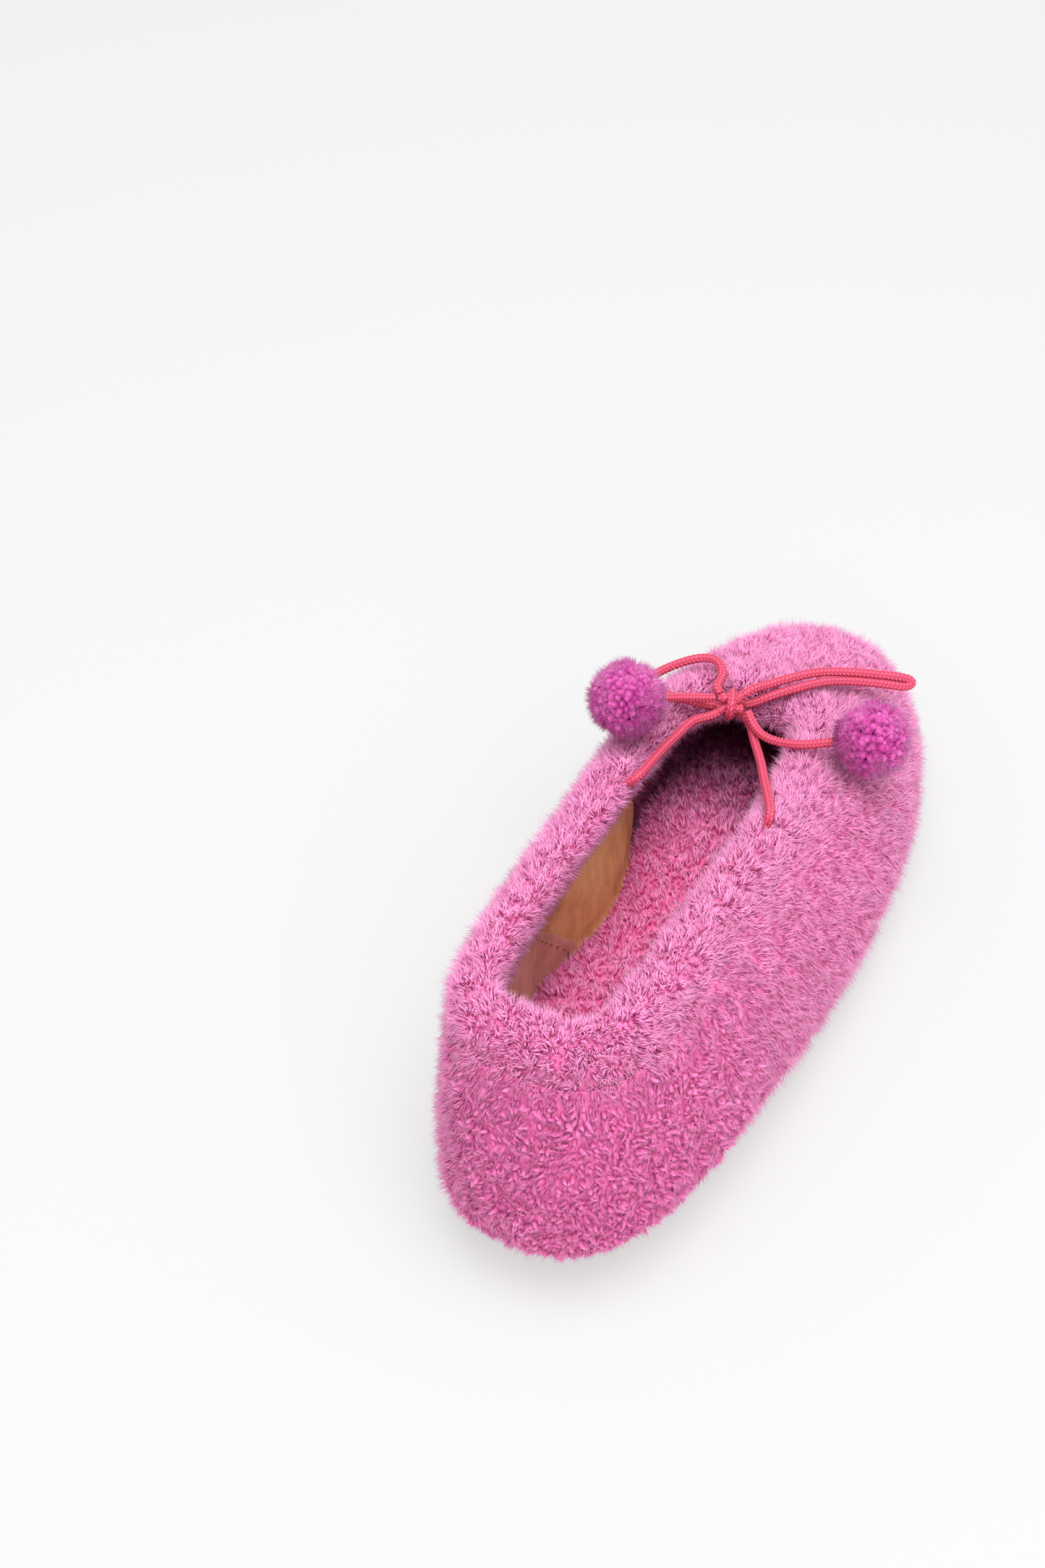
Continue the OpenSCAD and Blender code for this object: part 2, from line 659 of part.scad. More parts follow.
// Wound yarn that gathers the strands of a pom-pom around the cord's end
module pom_tie(at, route) {
    in = unit(at - route[len(route) - 1]);
    color(pom_pink) along(at, -in) translate([0, 0, -tie_w / 2]) rotate_extrude($fn = 48)
        translate([cord_r + swing_gap, seat_gap / 2])
        square([tie_d / 2 - cord_r - swing_gap - seat_gap / 2, tie_w - seat_gap]);
}

module pom_tie_left() {
    pom_tie(pom_left_at, tail_left_route);
}

module pom_tie_right() {
    pom_tie(pom_right_at, tail_right_route);
}

outsole();
heel_lift_upper();
heel_lift_lower();
heel_tread_rubber();
heel_tread_leather();
insole_board();
shank();
bottom_filler();
footbed_foam();
footbed_shearling();
vamp();
quarter_lateral();
quarter_medial();
collar_binding();
throat_binding();
vamp_lining();
quarter_lining();
heel_counter();
toe_puff();
heel_grip();
heel_grip_stitching();
drawcord();
cord_lead_left();
cord_lead_right();
bow_knot();
bow_loop_left();
bow_loop_right();
cord_tail_left();
cord_tail_right();
pom_left();
pom_right();
pom_tie_left();
pom_tie_right();
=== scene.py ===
"""Looks of a shearling slipper with a drawcord bow and two yarn pom-poms.

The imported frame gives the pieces' bodies and places. The soft pieces are modelled here over
the same last as the frame's: wool as scattered tufts, linings as thin shells, the cord as a
braided tube and the pom-poms as cut yarn. Sizes are in millimetres until a mesh is made.
"""

from __future__ import annotations

import json
import logging
import math
import random
from collections.abc import Callable, Sequence
from dataclasses import dataclass, field
from enum import Enum

import bmesh
import bpy
from mathutils import Matrix, Vector

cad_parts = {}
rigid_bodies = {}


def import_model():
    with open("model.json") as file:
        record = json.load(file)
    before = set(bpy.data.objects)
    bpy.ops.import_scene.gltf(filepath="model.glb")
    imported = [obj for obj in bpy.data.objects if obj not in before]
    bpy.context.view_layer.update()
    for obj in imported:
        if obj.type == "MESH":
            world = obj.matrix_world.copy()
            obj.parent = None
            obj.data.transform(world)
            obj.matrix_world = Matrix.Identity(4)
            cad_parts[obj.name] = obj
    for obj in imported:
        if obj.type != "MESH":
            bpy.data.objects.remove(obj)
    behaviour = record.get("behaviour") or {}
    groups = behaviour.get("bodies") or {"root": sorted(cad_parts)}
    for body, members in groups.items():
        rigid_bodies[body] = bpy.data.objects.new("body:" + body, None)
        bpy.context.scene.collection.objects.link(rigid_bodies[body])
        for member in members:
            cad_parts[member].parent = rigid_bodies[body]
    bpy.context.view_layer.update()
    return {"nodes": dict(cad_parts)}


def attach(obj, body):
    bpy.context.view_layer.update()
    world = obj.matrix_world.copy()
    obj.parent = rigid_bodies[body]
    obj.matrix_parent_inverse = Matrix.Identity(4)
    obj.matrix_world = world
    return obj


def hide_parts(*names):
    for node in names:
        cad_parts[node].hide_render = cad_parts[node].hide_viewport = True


LOG = logging.getLogger("slipper")
MM = 0.001
TONE_MAP = "OFBake"
TRIANGLE_LIMIT = 195_000
SEAM = 110.0  # side seams, degrees from the heel's middle
SLOTS = (104.0, 256.0)  # where the cord leaves its channel, lateral and medial
POM_D = 27.0
MIDDLE = (0.5, 0.5, 0.5)  # mean of a random colour

Colour = tuple[float, float, float, float]
Place = Callable[[float, float], Vector]
Ends = Callable[[float], tuple[float, float]]
Line = Callable[[float], Vector]
Spot = tuple[float, float, float]


class Body(Enum):
    """CAD bodies that the pieces ride on."""

    SLIPPER = "slipper"
    TAIL_LEFT = "tail_left"
    TAIL_RIGHT = "tail_right"
    POM_LEFT = "pom_left"
    POM_RIGHT = "pom_right"


class Slot(Enum):
    """Material slots of the record."""

    WOOL = "wool"
    YARN = "yarn"
    CORD = "cord"
    LINING = "lining_leather"
    SOLE = "sole_leather"
    STACK = "stacked_leather"
    SUEDE = "suede"
    THREAD = "thread"
    RUBBER = "tread_rubber"
    BOARD = "board"
    FOAM = "foam"
    STEEL = "shank_steel"


def srgb(red: int, green: int, blue: int) -> Colour:
    """Linear colour of a display colour.

    Args:
        red: Red from 0 to 255.
        green: Green from 0 to 255.
        blue: Blue from 0 to 255.

    Returns:
        Linear red, green, blue and an alpha of 1.
    """

    def linear(level: int) -> float:
        """One channel's linear value."""
        share = level / 255
        return share / 12.92 if share <= 0.04045 else ((share + 0.055) / 1.055) ** 2.4

    return linear(red), linear(green), linear(blue), 1.0


def clamp(x: float) -> float:
    """x kept from 0 to 1."""
    return max(0.0, min(1.0, x))


def ease(x: float) -> float:
    """Smooth step from 0 to 1."""
    a = clamp(x)
    return a * a * (3 - 2 * a)


def mix(a: float, b: float, share: float) -> float:
    """The value a share of the way from a to b."""
    return a + (b - a) * share


def bezier(weights: Sequence[float], s: float) -> float:
    """Value of a Bezier curve.

    Args:
        weights: The curve's control values.
        s: Share of the way along it.

    Returns:
        The curve's value there.
    """
    row = list(weights)
    while len(row) > 1:
        row = [mix(a, b, s) for a, b in zip(row, row[1:])]
    return row[0]


class Socket:
    """A node's output, with arithmetic that adds Math nodes."""

    def __init__(self, graph: Graph, output: bpy.types.NodeSocket) -> None:
        """Keeps the graph and the output.

        Args:
            graph: The graph that holds the node.
            output: The node's output socket.
        """
        self.graph = graph
        self.output = output

    def other(self, name: str | int) -> Socket:
        """Another output of the same node."""
        return Socket(self.graph, self.output.node.outputs[name])

    def maths(self, operation: str, *values: Socket | float) -> Socket:
        """A Math node on this value and others."""
        return self.graph.add("ShaderNodeMath", {"operation": operation}, dict(enumerate((self, *values))))

    def vector(self, operation: str, *values: Socket | Sequence[float]) -> Socket:
        """A Vector Math node on this vector and others."""
        inputs = dict(enumerate((self, *values)))
        return self.graph.add("ShaderNodeVectorMath", {"operation": operation}, inputs)

    def scaled(self, factor: Socket | float) -> Socket:
        """This vector times a number."""
        return self.graph.add("ShaderNodeVectorMath", {"operation": "SCALE"}, {0: self, "Scale": factor})

    def clamped(self) -> Socket:
        """This value kept from 0 to 1."""
        return self.graph.add("ShaderNodeClamp", {}, {"Value": self})

    def __add__(self, other: Socket | float) -> Socket:
        """Sum."""
        return self.maths("ADD", other)

    __radd__ = __add__

    def __mul__(self, other: Socket | float) -> Socket:
        """Product."""
        return self.maths("MULTIPLY", other)

    __rmul__ = __mul__

    def __sub__(self, other: Socket | float) -> Socket:
        """Difference."""
        return self.maths("SUBTRACT", other)

    def __rsub__(self, other: float) -> Socket:
        """Difference from a number."""
        return self.graph.add("ShaderNodeMath", {"operation": "SUBTRACT"}, {0: other, 1: self})

    def __truediv__(self, other: Socket | float) -> Socket:
        """Quotient."""
        return self.maths("DIVIDE", other)

    def __gt__(self, other: Socket | float) -> Socket:
        """1 where this value is the larger one."""
        return self.maths("GREATER_THAN", other)


class Graph:
    """A node tree that nodes are added to."""

    def __init__(self, tree: bpy.types.NodeTree) -> None:
        """Keeps the tree.

        Args:
            tree: The shader or geometry tree.
        """
        self.tree = tree

    @classmethod
    def of(cls, owner: bpy.types.Material | bpy.types.World) -> Graph:
        """The emptied nodes of a material or world.

        Args:
            owner: The material or world.

        Returns:
            A graph of its empty tree.
        """
        owner.use_nodes = True
        owner.node_tree.nodes.clear()
        return cls(owner.node_tree)

    def add(
        self,
        kind: str,
        settings: dict[str, object] | None = None,
        inputs: dict[str | int, object] | None = None,
        output: str | int = 0,
    ) -> Socket:
        """Adds a node.

        Args:
            kind: The node's type.
            settings: Its settings, or a ramp's stops, set first.
            inputs: Values or links of its sockets.
            output: The output that is wanted.

        Returns:
            That output, or the node's first input where it has no outputs.
        """
        node = self.tree.nodes.new(kind)
        for name, value in (settings or {}).items():
            if name == "stops":
                self._set_stops(node.color_ramp, value)
            else:
                setattr(node, name, value)
        for key, value in (inputs or {}).items():
            self.give(node.inputs[key], value)
        return Socket(self, node.outputs[output] if node.outputs else node.inputs[0])

    def give(self, socket: bpy.types.NodeSocket, value: object) -> None:
        """Links or sets an input socket.

        Args:
            socket: The input.
            value: A socket to link, or the value to set.
        """
        if isinstance(value, Socket):
            self.tree.links.new(value.output, socket)
        else:
            socket.default_value = value

    @staticmethod
    def _set_stops(ramp: bpy.types.ColorRamp, stops: Sequence[tuple[float, Colour]]) -> None:
        """Gives a ramp its stops.

        Args:
            ramp: The node's ramp.
            stops: Places and colours.
        """
        while len(ramp.elements) < len(stops):
            ramp.elements.new(1.0)
        for element, (place, colour) in zip(ramp.elements, stops):
            element.position = place
            element.color = colour

    def ramp(self, value: Socket, *stops: tuple[float, Colour]) -> Socket:
        """A colour ramp over a value."""
        return self.add("ShaderNodeValToRGB", {"stops": stops}, {"Fac": value})

    def blend(
        self, factor: Socket | float, a: Socket | Colour, b: Socket | Colour, kind: str = "MIX"
    ) -> Socket:
        """A mix of two colours.

        Args:
            factor: Share of the second colour.
            a: First colour.
            b: Second colour.
            kind: How they mix.

        Returns:
            The mixed colour.
        """
        return self.add(
            "ShaderNodeMix", {"data_type": "RGBA", "blend_type": kind}, {0: factor, 6: a, 7: b}, output=2
        )

    def noise(self, where: Socket, scale: float, detail: float = 3.0, rough: float = 0.55) -> Socket:
        """Noise from 0 to 1 over a place.

        Args:
            where: The place.
            scale: Its scale.
            detail: Number of octaves.
            rough: How strong the finer octaves are.

        Returns:
            The noise.
        """
        return self.add(
            "ShaderNodeTexNoise", {}, {"Vector": where, "Scale": scale, "Detail": detail, "Roughness": rough}
        )

    def where(self) -> Socket:
        """Place on the object, in metres."""
        return self.add("ShaderNodeTexCoord", output="Object")

    def held(self, attribute: str, kind: str = "FLOAT") -> Socket:
        """An attribute of the mesh."""
        return self.add("GeometryNodeInputNamedAttribute", {"data_type": kind}, {"Name": attribute})

    def chance(self, low: float, high: float, seed: int) -> Socket:
        """A random number for each point."""
        inputs = {2: low, 3: high, "Seed": seed}
        return self.add("FunctionNodeRandomValue", {"data_type": "FLOAT"}, inputs, 1)


@dataclass(frozen=True)
class Finish:
    """A surface finish. Its subclasses add what the surface shows."""

    name: str
    slot: Slot
    roughness: float = 0.6

    def material(self) -> bpy.types.Material:
        """The finish as a material, made once.

        Returns:
            The material.
        """
        found = bpy.data.materials.get(self.name)
        if found:
            return found
        made = bpy.data.materials.new(self.name)
        graph = Graph.of(made)
        shader = graph.add("ShaderNodeBsdfPrincipled", {}, {"Roughness": self.roughness})
        self.paint(graph, shader.output.node)
        graph.add("ShaderNodeOutputMaterial", {}, {"Surface": shader})
        return made

    def paint(self, graph: Graph, shader: bpy.types.Node) -> None:
        """Adds the finish's own nodes.

        Args:
            graph: The material's nodes.
            shader: Its Principled shader.
        """
        raise NotImplementedError

    @staticmethod
    def feed(graph: Graph, shader: bpy.types.Node, **inputs: Socket | float | Colour) -> None:
        """Sets or links the shader's sockets, named with underscores."""
        for name, value in inputs.items():
            graph.give(shader.inputs[name.replace("_", " ").title().replace("Ior", "IOR")], value)

    @staticmethod
    def bump(graph: Graph, height: Socket, strength: float, distance: float) -> Socket:
        """A bump from a height between 0 and 1, its distance in metres.

        Args:
            graph: The material's nodes.
            height: The height.
            strength: How much it counts.
            distance: How high a step from 0 to 1 is.

        Returns:
            The bent normal.
        """
        return graph.add(
            "ShaderNodeBump", {}, {"Strength": strength, "Distance": distance, "Height": height}, "Normal"
        )


@dataclass(frozen=True)
class PileFinish(Finish):
    """Wool or yarn: its colour runs from root to tip, paler or deeper with each lock's tone; the darker
    roots are painted shade deep in the pile.
    """

    roughness: float = 0.9
    deep: tuple[Colour, Colour, Colour] = (srgb(192, 84, 136), srgb(214, 104, 164), srgb(226, 122, 180))
    pale: tuple[Colour, Colour, Colour] = (srgb(236, 136, 188), srgb(244, 150, 203), srgb(250, 168, 214))
    through: float = 0.25
    scatter: float = 0.6 * MM

    def paint(self, graph: Graph, shader: bpy.types.Node) -> None:
        """Colours the pile by the tone and height that its map holds.

        Args:
            graph: The material's nodes.
            shader: Its Principled shader.
        """
        place = graph.add("ShaderNodeUVMap", {"uv_map": TONE_MAP})
        tone = graph.add("ShaderNodeSeparateXYZ", {}, {0: place}, "X")
        height = tone.other("Y")
        ramps = [graph.ramp(height, *zip((0.0, 0.5, 1.0), colours)) for colours in (self.deep, self.pale)]
        self.feed(
            graph,
            shader,
            base_color=graph.blend(tone, *ramps),
            subsurface_weight=self.through,
            subsurface_radius=(1.0, 1.0, 1.0),
            subsurface_scale=self.scatter,
            specular_ior_level=0.0,
        )


@dataclass(frozen=True)
class CordFinish(Finish):
    """Braided cord: deeper in the grooves between its yarns, as painted shade, and paler on the yarns'
    crests, partly painted highlight and partly wear.
    """

    roughness: float = 0.75
    groove: Colour = srgb(140, 24, 56)
    yarn: Colour = srgb(206, 62, 94)
    worn: Colour = srgb(224, 96, 122)

    def paint(self, graph: Graph, shader: bpy.types.Node) -> None:
        """Colours the braid by its height and a little by place.

        Args:
            graph: The material's nodes.
            shader: Its Principled shader.
        """
        height = graph.add("ShaderNodeAttribute", {"attribute_name": "braid"}, {}, "Fac")
        where = graph.where()
        fleck = graph.noise(where, 900.0, 2.0)
        # painted shade in the grooves; the pale crests are partly painted highlight and partly wear
        base = graph.ramp(height, (0.0, self.groove), (0.55, self.yarn), (1.0, self.worn))
        self.feed(
            graph,
            shader,
            base_color=graph.blend(0.25 * fleck, base, self.worn),
            normal=self.bump(graph, fleck, 0.3, 0.0002),
        )


@dataclass(frozen=True)
class LeatherFinish(Finish):
    """Smooth or napped leather, with grain, pull-up and scuffs."""

    colour: Colour = srgb(212, 160, 98)
    shade: Colour = srgb(160, 106, 62)
    bright: Colour = srgb(238, 196, 136)
    grain: float = 1400.0
    grain_height: float = 0.00012
    streak: tuple[float, float, float] = (1.0, 1.0, 0.25)
    nap: float = 0.0

    def paint(self, graph: Graph, shader: bpy.types.Node) -> None:
        """Adds the mottling, the grain and the scuffs.

        Args:
            graph: The material's nodes.
            shader: Its Principled shader.
        """
        where = graph.where()
        drawn = graph.add("ShaderNodeMapping", {}, {"Vector": where, "Scale": self.streak})
        mottle = graph.noise(where, 60.0, 5.0)
        scuff = graph.noise(drawn, 260.0, 4.0, 0.65)
        pores = graph.add("ShaderNodeTexVoronoi", {}, {"Vector": where, "Scale": self.grain}, "Distance")
        fine = graph.noise(where, self.grain * 1.7, 2.0)
        worn = 0.6 * mottle + 0.4 * scuff
        base = graph.ramp(worn, (0.3, self.shade), (0.5, self.colour), (0.72, self.bright))
        speck = graph.blend(0.35 * fine, base, self.shade, "MULTIPLY")
        self.feed(
            graph,
            shader,
            base_color=speck,
            roughness=self.roughness + 0.25 * (scuff - 0.5),
            normal=self.bump(graph, 0.6 * pores + 0.4 * fine, 0.6, self.grain_height),
            sheen_weight=self.nap,
            sheen_tint=self.bright,
        )


@dataclass(frozen=True)
class StackFinish(Finish):
    """Cut edges of stacked leather: thin layers of different browns."""

    colour: Colour = srgb(178, 92, 62)
    dark: Colour = srgb(120, 55, 38)
    bright: Colour = srgb(206, 124, 88)
    layer: float = 0.9 * MM

    def paint(self, graph: Graph, shader: bpy.types.Node) -> None:
        """Adds the layers and the burnish.

        Args:
            graph: The material's nodes.
            shader: Its Principled shader.
        """
        where = graph.where()
        flat = graph.add("ShaderNodeMapping", {}, {"Vector": where, "Scale": (40.0, 40.0, 1 / self.layer)})
        layers = graph.noise(flat, 1.0, 3.0, 0.6)
        fibre = graph.noise(where, 1500.0, 3.0)
        base = graph.ramp(layers, (0.3, self.dark), (0.5, self.colour), (0.7, self.bright))
        self.feed(
            graph,
            shader,
            base_color=graph.blend(0.3 * fibre, base, self.dark),
            roughness=0.4 + 0.3 * fibre,
            normal=self.bump(graph, 0.7 * layers + 0.3 * fibre, 0.5, 0.0002),
        )


@dataclass(frozen=True)
class PlainFinish(Finish):
    """Rubber, board, foam, thread or steel: a fine speckle on one colour."""

    colour: Colour = srgb(118, 90, 69)
    speck: Colour = srgb(90, 66, 50)
    scale: float = 1800.0
    height: float = 0.0002
    metallic: float = 0.0

    def paint(self, graph: Graph, shader: bpy.types.Node) -> None:
        """Adds the speckle.

        Args:
            graph: The material's nodes.
            shader: Its Principled shader.
        """
        where = graph.where()
        fine = graph.noise(where, self.scale, 3.0, 0.6)
        broad = graph.noise(where, 90.0, 4.0)
        self.feed(
            graph,
            shader,
            base_color=graph.ramp(0.6 * fine + 0.4 * broad, (0.35, self.speck), (0.62, self.colour)),
            roughness=self.roughness + 0.2 * (broad - 0.5),
            metallic=self.metallic,
            normal=self.bump(graph, fine, 0.5, self.height),
        )


WOOL = PileFinish("sheepskin_wool", Slot.WOOL)
# The dark deep end of these ramps is painted shade for wool in the hollow of the toe.
INSIDE_WOOL_WITH_SHADE = PileFinish(
    "footbed_wool",
    Slot.WOOL,
    deep=(srgb(70, 10, 36), srgb(100, 20, 54), srgb(116, 30, 66)),
    pale=(srgb(240, 100, 164), srgb(255, 142, 202), srgb(255, 160, 212)),
)
YARN = PileFinish(
    "pom_yarn",
    Slot.YARN,
    deep=(srgb(116, 26, 86), srgb(174, 56, 134), srgb(192, 78, 152)),
    pale=(srgb(150, 46, 116), srgb(198, 80, 160), srgb(222, 122, 188)),
)
CORAL = CordFinish("coral_braid", Slot.CORD)
TAN = LeatherFinish("tan_lining", Slot.LINING, 0.55)
SUEDE = LeatherFinish(
    "brown_suede",
    Slot.SUEDE,
    0.92,
    srgb(186, 124, 110),
    srgb(146, 92, 80),
    srgb(208, 150, 132),
    2600.0,
    0.0002,
    nap=0.4,
)
SOLE = LeatherFinish(
    "sole_leather",
    Slot.SOLE,
    0.5,
    srgb(214, 172, 130),
    srgb(176, 128, 88),
    srgb(232, 198, 160),
    1800.0,
    0.00008,
)
STACK = StackFinish("stacked_edge", Slot.STACK)
RUBBER = PlainFinish("brown_rubber", Slot.RUBBER, 0.8)
THREAD = PlainFinish("brown_thread", Slot.THREAD, 0.7, srgb(150, 92, 60), srgb(110, 62, 40), 3000.0)
BOARD = PlainFinish("fibre_board", Slot.BOARD, 0.85, srgb(160, 140, 120), srgb(130, 112, 96))
FOAM = PlainFinish("footbed_foam", Slot.FOAM, 0.9, srgb(236, 220, 184), srgb(214, 194, 156), 900.0)
STEEL = PlainFinish(
    "spring_steel", Slot.STEEL, 0.35, srgb(176, 178, 182), srgb(140, 142, 148), 700.0, metallic=1.0
)
YARN_TIE = PlainFinish("yarn_tie", Slot.YARN, 0.9, srgb(190, 70, 146), srgb(140, 36, 104), 1500.0)


@dataclass(frozen=True)
class Last:
    """The foot form that the layers of the slipper follow, in millimetres.

    t runs around it in degrees from the heel over the lateral side to the toe and back. v is -1
    at the feather line, 0 at the widest line and 1 at the topline.
    """

    length: float = 248.0
    lateral: tuple[float, ...] = (39.5, 42.5, 35.0, 53.0, 39.0)
    medial: tuple[float, ...] = (36.0, 40.0, 33.0, 46.0, 34.5)
    outline_round: tuple[float, float] = (0.65, 0.84)
    arch_in: float = 9.5
    arch_at: float = 0.5
    arch_l: float = 0.19
    shift: float = -2.0
    rise: tuple[float, ...] = (6.5, 12.0, 6.0)
    mouth_ends: tuple[float, float] = (-105.5, 74.5)
    mouth: tuple[float, ...] = (31.0, 20.0, 25.5, 32.5)
    mouth_round: tuple[float, float] = (0.53, 0.58)
    mouth_shift: float = -6.0
    collar: tuple[float, ...] = (73.0, 66.0, 49.0, 43.0)
    turn: tuple[float, float] = (59.0, 64.0)
    foot_turn: float = 52.0
    foot_ratio: float = 0.8
    feather_z: float = 6.3
    margin_z: float = 3.8
    heel_h: float = 7.1
    breast_y: float = -65.5
    tread_y: float = -3.5
    spring_y: float = 65.0
    toe_spring: float = 5.0

    @staticmethod
    def share(t: float) -> float:
        """Share of the way from heel to toe."""
        return (1 - math.cos(math.radians(t))) / 2

    def ground(self, y: float) -> float:
        """Height of the outsole's underside at a place along the shoe.

        Args:
            y: Place along the shoe.

        Returns:
            The height.
        """
        drop = ease((y - self.breast_y) / (self.tread_y - self.breast_y))
        lift = clamp((y - self.spring_y) / (self.length / 2 - self.spring_y))
        return self.heel_h * (1 - drop) + self.toe_spring * lift * lift

    def arch(self, t: float) -> float:
        """How far the medial side lies inwards under the arch of the foot.

        Args:
            t: Angle around the last.

        Returns:
            The distance, 0 on the lateral side.
        """
        if math.sin(math.radians(t)) >= 0:
            return 0.0
        return self.arch_in * (1 - min(1, ((self.share(t) - self.arch_at) / self.arch_l) ** 2)) ** 2

    def widest(self, t: float) -> Vector:
        """Point on the widest line.

        Args:
            t: Angle around the last.

        Returns:
            The point.
        """
        s, sine = self.share(t), math.sin(math.radians(t))
        half = bezier(self.lateral, s) if sine >= 0 else -bezier(self.medial, s)
        y = -self.length / 2 * math.cos(math.radians(t))
        x = self.shift + half * abs(sine) ** mix(*self.outline_round, s) + self.arch(t)
        return Vector((x, y, self.ground(y) + self.feather_z + bezier(self.rise, s)))

    def topline(self, t: float) -> Vector:
        """Point on the topline.

        Args:
            t: Angle around the last.

        Returns:
            The point.
        """
        s, sine = self.share(t), math.sin(math.radians(t))
        half = math.copysign(bezier(self.mouth, s), sine)
        x = self.shift + self.mouth_shift + half * abs(sine) ** mix(*self.mouth_round, s)
        return Vector((x, mix(*self.mouth_ends, s), bezier(self.collar, s)))

    def plan_normal(self, t: float) -> Vector:
        """Outward direction of the outline, level."""
        run = self.widest(t + 2) - self.widest(t - 2)
        return Vector((run.y, -run.x, 0)).normalized()

    def point(self, t: float, v: float) -> Vector:
        """Point on the last.

        Args:
            t: Angle around the last.
            v: Row on the wall.

        Returns:
            The point.
        """
        wide = self.widest(t)
        if v < 0:
            a = math.radians(self.foot_turn * v)
            h = (wide.z - self.ground(wide.y) - self.feather_z) / math.sin(math.radians(self.foot_turn))
            inward = self.foot_ratio * h * (1 - math.cos(a))
            return wide - self.plan_normal(t) * inward + Vector((0, 0, h * math.sin(a)))
        top = self.topline(t)
        turn = math.radians(mix(*self.turn, self.share(t)))
        q = (1 - math.cos(turn * v)) / (1 - math.cos(turn))
        r = math.sin(turn * v) / math.sin(turn)
        x = mix(wide.x, top.x, q) + self.arch(t) * (q - ease(v))
        return Vector((x, mix(wide.y, top.y, q), mix(wide.z, top.z, r)))

    def up_wall(self, t: float, v: float) -> Vector:
        """Direction up the wall."""
        return (self.point(t, v + 0.03) - self.point(t, v - 0.03)).normalized()

    def out_wall(self, t: float, v: float) -> Vector:
        """Direction out of the wall."""
        along = self.point(t + 2, v) - self.point(t - 2, v)
        return along.cross(self.point(t, v + 0.03) - self.point(t, v - 0.03)).normalized()

    def layer(self, t: float, v: float, d: float) -> Vector:
        """Point at a distance out of the last."""
        return self.point(t, v) + d * self.out_wall(t, v)

    def at_topline(self, t: float, n: float, h: float) -> Vector:
        """Point in the section square to the topline, n outwards and h up.

        Args:
            t: Angle around the last.
            n: Distance outwards.
            h: Distance up.

        Returns:
            The point.
        """
        out = self.out_wall(t, 1)
        rise = out.cross(self.topline(t + 1) - self.topline(t - 1)).normalized()
        return self.topline(t) + n * out + h * rise

    def edge(self, t: float, inset: float, z: float) -> Vector:
        """Point inside the feather line, at a height above the outsole's underside."""
        place = self.point(t, -1) - inset * self.plan_normal(t)
        return Vector((place.x, place.y, self.ground(place.y) + z))

    def rail(self, u: float) -> float:
        """Angle of a station along the sole, closer together at heel and toe."""
        return mix(1, 179, u - math.sin(2 * math.pi * u) / 9)


LAST = Last()


@dataclass(frozen=True)
class Layers:
    """Distances of the upper's layers from the last, in millimetres."""

    skin: float = 1.5
    pile: float = 9.0
    hem_pile: float = 2.5
    roll_pile: float = 5.0
    roll_taper: float = 0.85
    lining: float = 1.2
    stiffener: float = 0.8
    grip: float = 1.2
    gap: float = 0.2
    counter_span: float = 60.0
    puff_span: float = 45.0
    fade: float = 15.0

    @property
    def wool(self) -> float:
        """Skin and pile together."""
        return self.skin + self.pile

    def wool_at(self, v: float) -> float:
        """Wool surface at a row, lower below the widest line."""
        return self.skin + (self.pile + (self.pile - self.hem_pile) * v if v < 0 else self.pile)

    def stiffened(self, t: float, v: float) -> float:
        """1 where a stiffener lies behind the lining, falling to 0 beside it.

        Args:
            t: Angle around the last.
            v: Row on the wall.

        Returns:
            The share.
        """
        heel = abs(t - 360 * round(t / 360))
        toe = abs(t % 360 - 180)
        return max(
            clamp((self.counter_span + self.fade - heel) / self.fade),
            clamp((self.puff_span + self.fade - toe) / self.fade) * clamp((0.6 - v) / 0.2),
        )

    def lining_out(self, t: float, v: float) -> float:
        """Outer face of the lining."""
        return -self.gap - (self.stiffener + self.gap) * self.stiffened(t, v)


LAYERS = Layers()


def put(made: bpy.types.Object) -> bpy.types.Object:
    """Puts a new object into the scene."""
    bpy.context.scene.collection.objects.link(made)
    return made


class Piece:
    """A new mesh piece of the slipper, made by bmesh and dressed in a finish."""

    def __init__(self, name: str) -> None:
        """Starts an empty mesh.

        Args:
            name: The piece's name.
        """
        self.name = name
        self.bm = bmesh.new()
        self.map = self.bm.loops.layers.uv.new("Surface")

    def grid(self, columns: int, rows: int, place: Place) -> list[bmesh.types.BMVert]:
        """Adds a grid and moves it onto a surface.

        Args:
            columns: Faces along the first direction.
            rows: Faces along the second one.
            place: Point of the surface at two shares from 0 to 1, in metres.

        Returns:
            The grid's vertices.
        """
        verts = bmesh.ops.create_grid(self.bm, x_segments=columns, y_segments=rows, size=0.5)["verts"]
        faces = {face for vert in verts for face in vert.link_faces}
        for face in faces:
            for loop in face.loops:
                loop[self.map].uv = (loop.vert.co.x + 0.5, loop.vert.co.y + 0.5)
            face.smooth = True
        for vert in verts:
            vert.co = place(vert.co.x + 0.5, vert.co.y + 0.5)
        return verts

    def flat(self, columns: int, rows: int) -> list[bmesh.types.BMVert]:
        """Adds a grid on the unit square, for the caller to move."""
        return self.grid(columns, rows, lambda u, v: Vector((u, v, 0)))

    def layer(self, name: str) -> bmesh.types.BMLayerItem:
        """A number that each vertex holds, made where it is missing."""
        layers = self.bm.verts.layers.float
        return layers.get(name) or layers.new(name)

    def weld(self, reach: float) -> None:
        """Closes seams and poles, and the open ends.

        Args:
            reach: How close vertices are that become one.
        """
        bmesh.ops.remove_doubles(self.bm, verts=self.bm.verts[:], dist=reach)
        rims = [edge for edge in self.bm.edges if edge.is_boundary]
        if rims:
            bmesh.ops.holes_fill(self.bm, edges=rims, sides=0)

    def build(self) -> bpy.types.Object:
        """Makes the object.

        Returns:
            The new object, in the scene.
        """
        mesh = bpy.data.meshes.new(self.name)
        self.bm.to_mesh(mesh)
        self.bm.free()
        return put(bpy.data.objects.new(self.name, mesh))


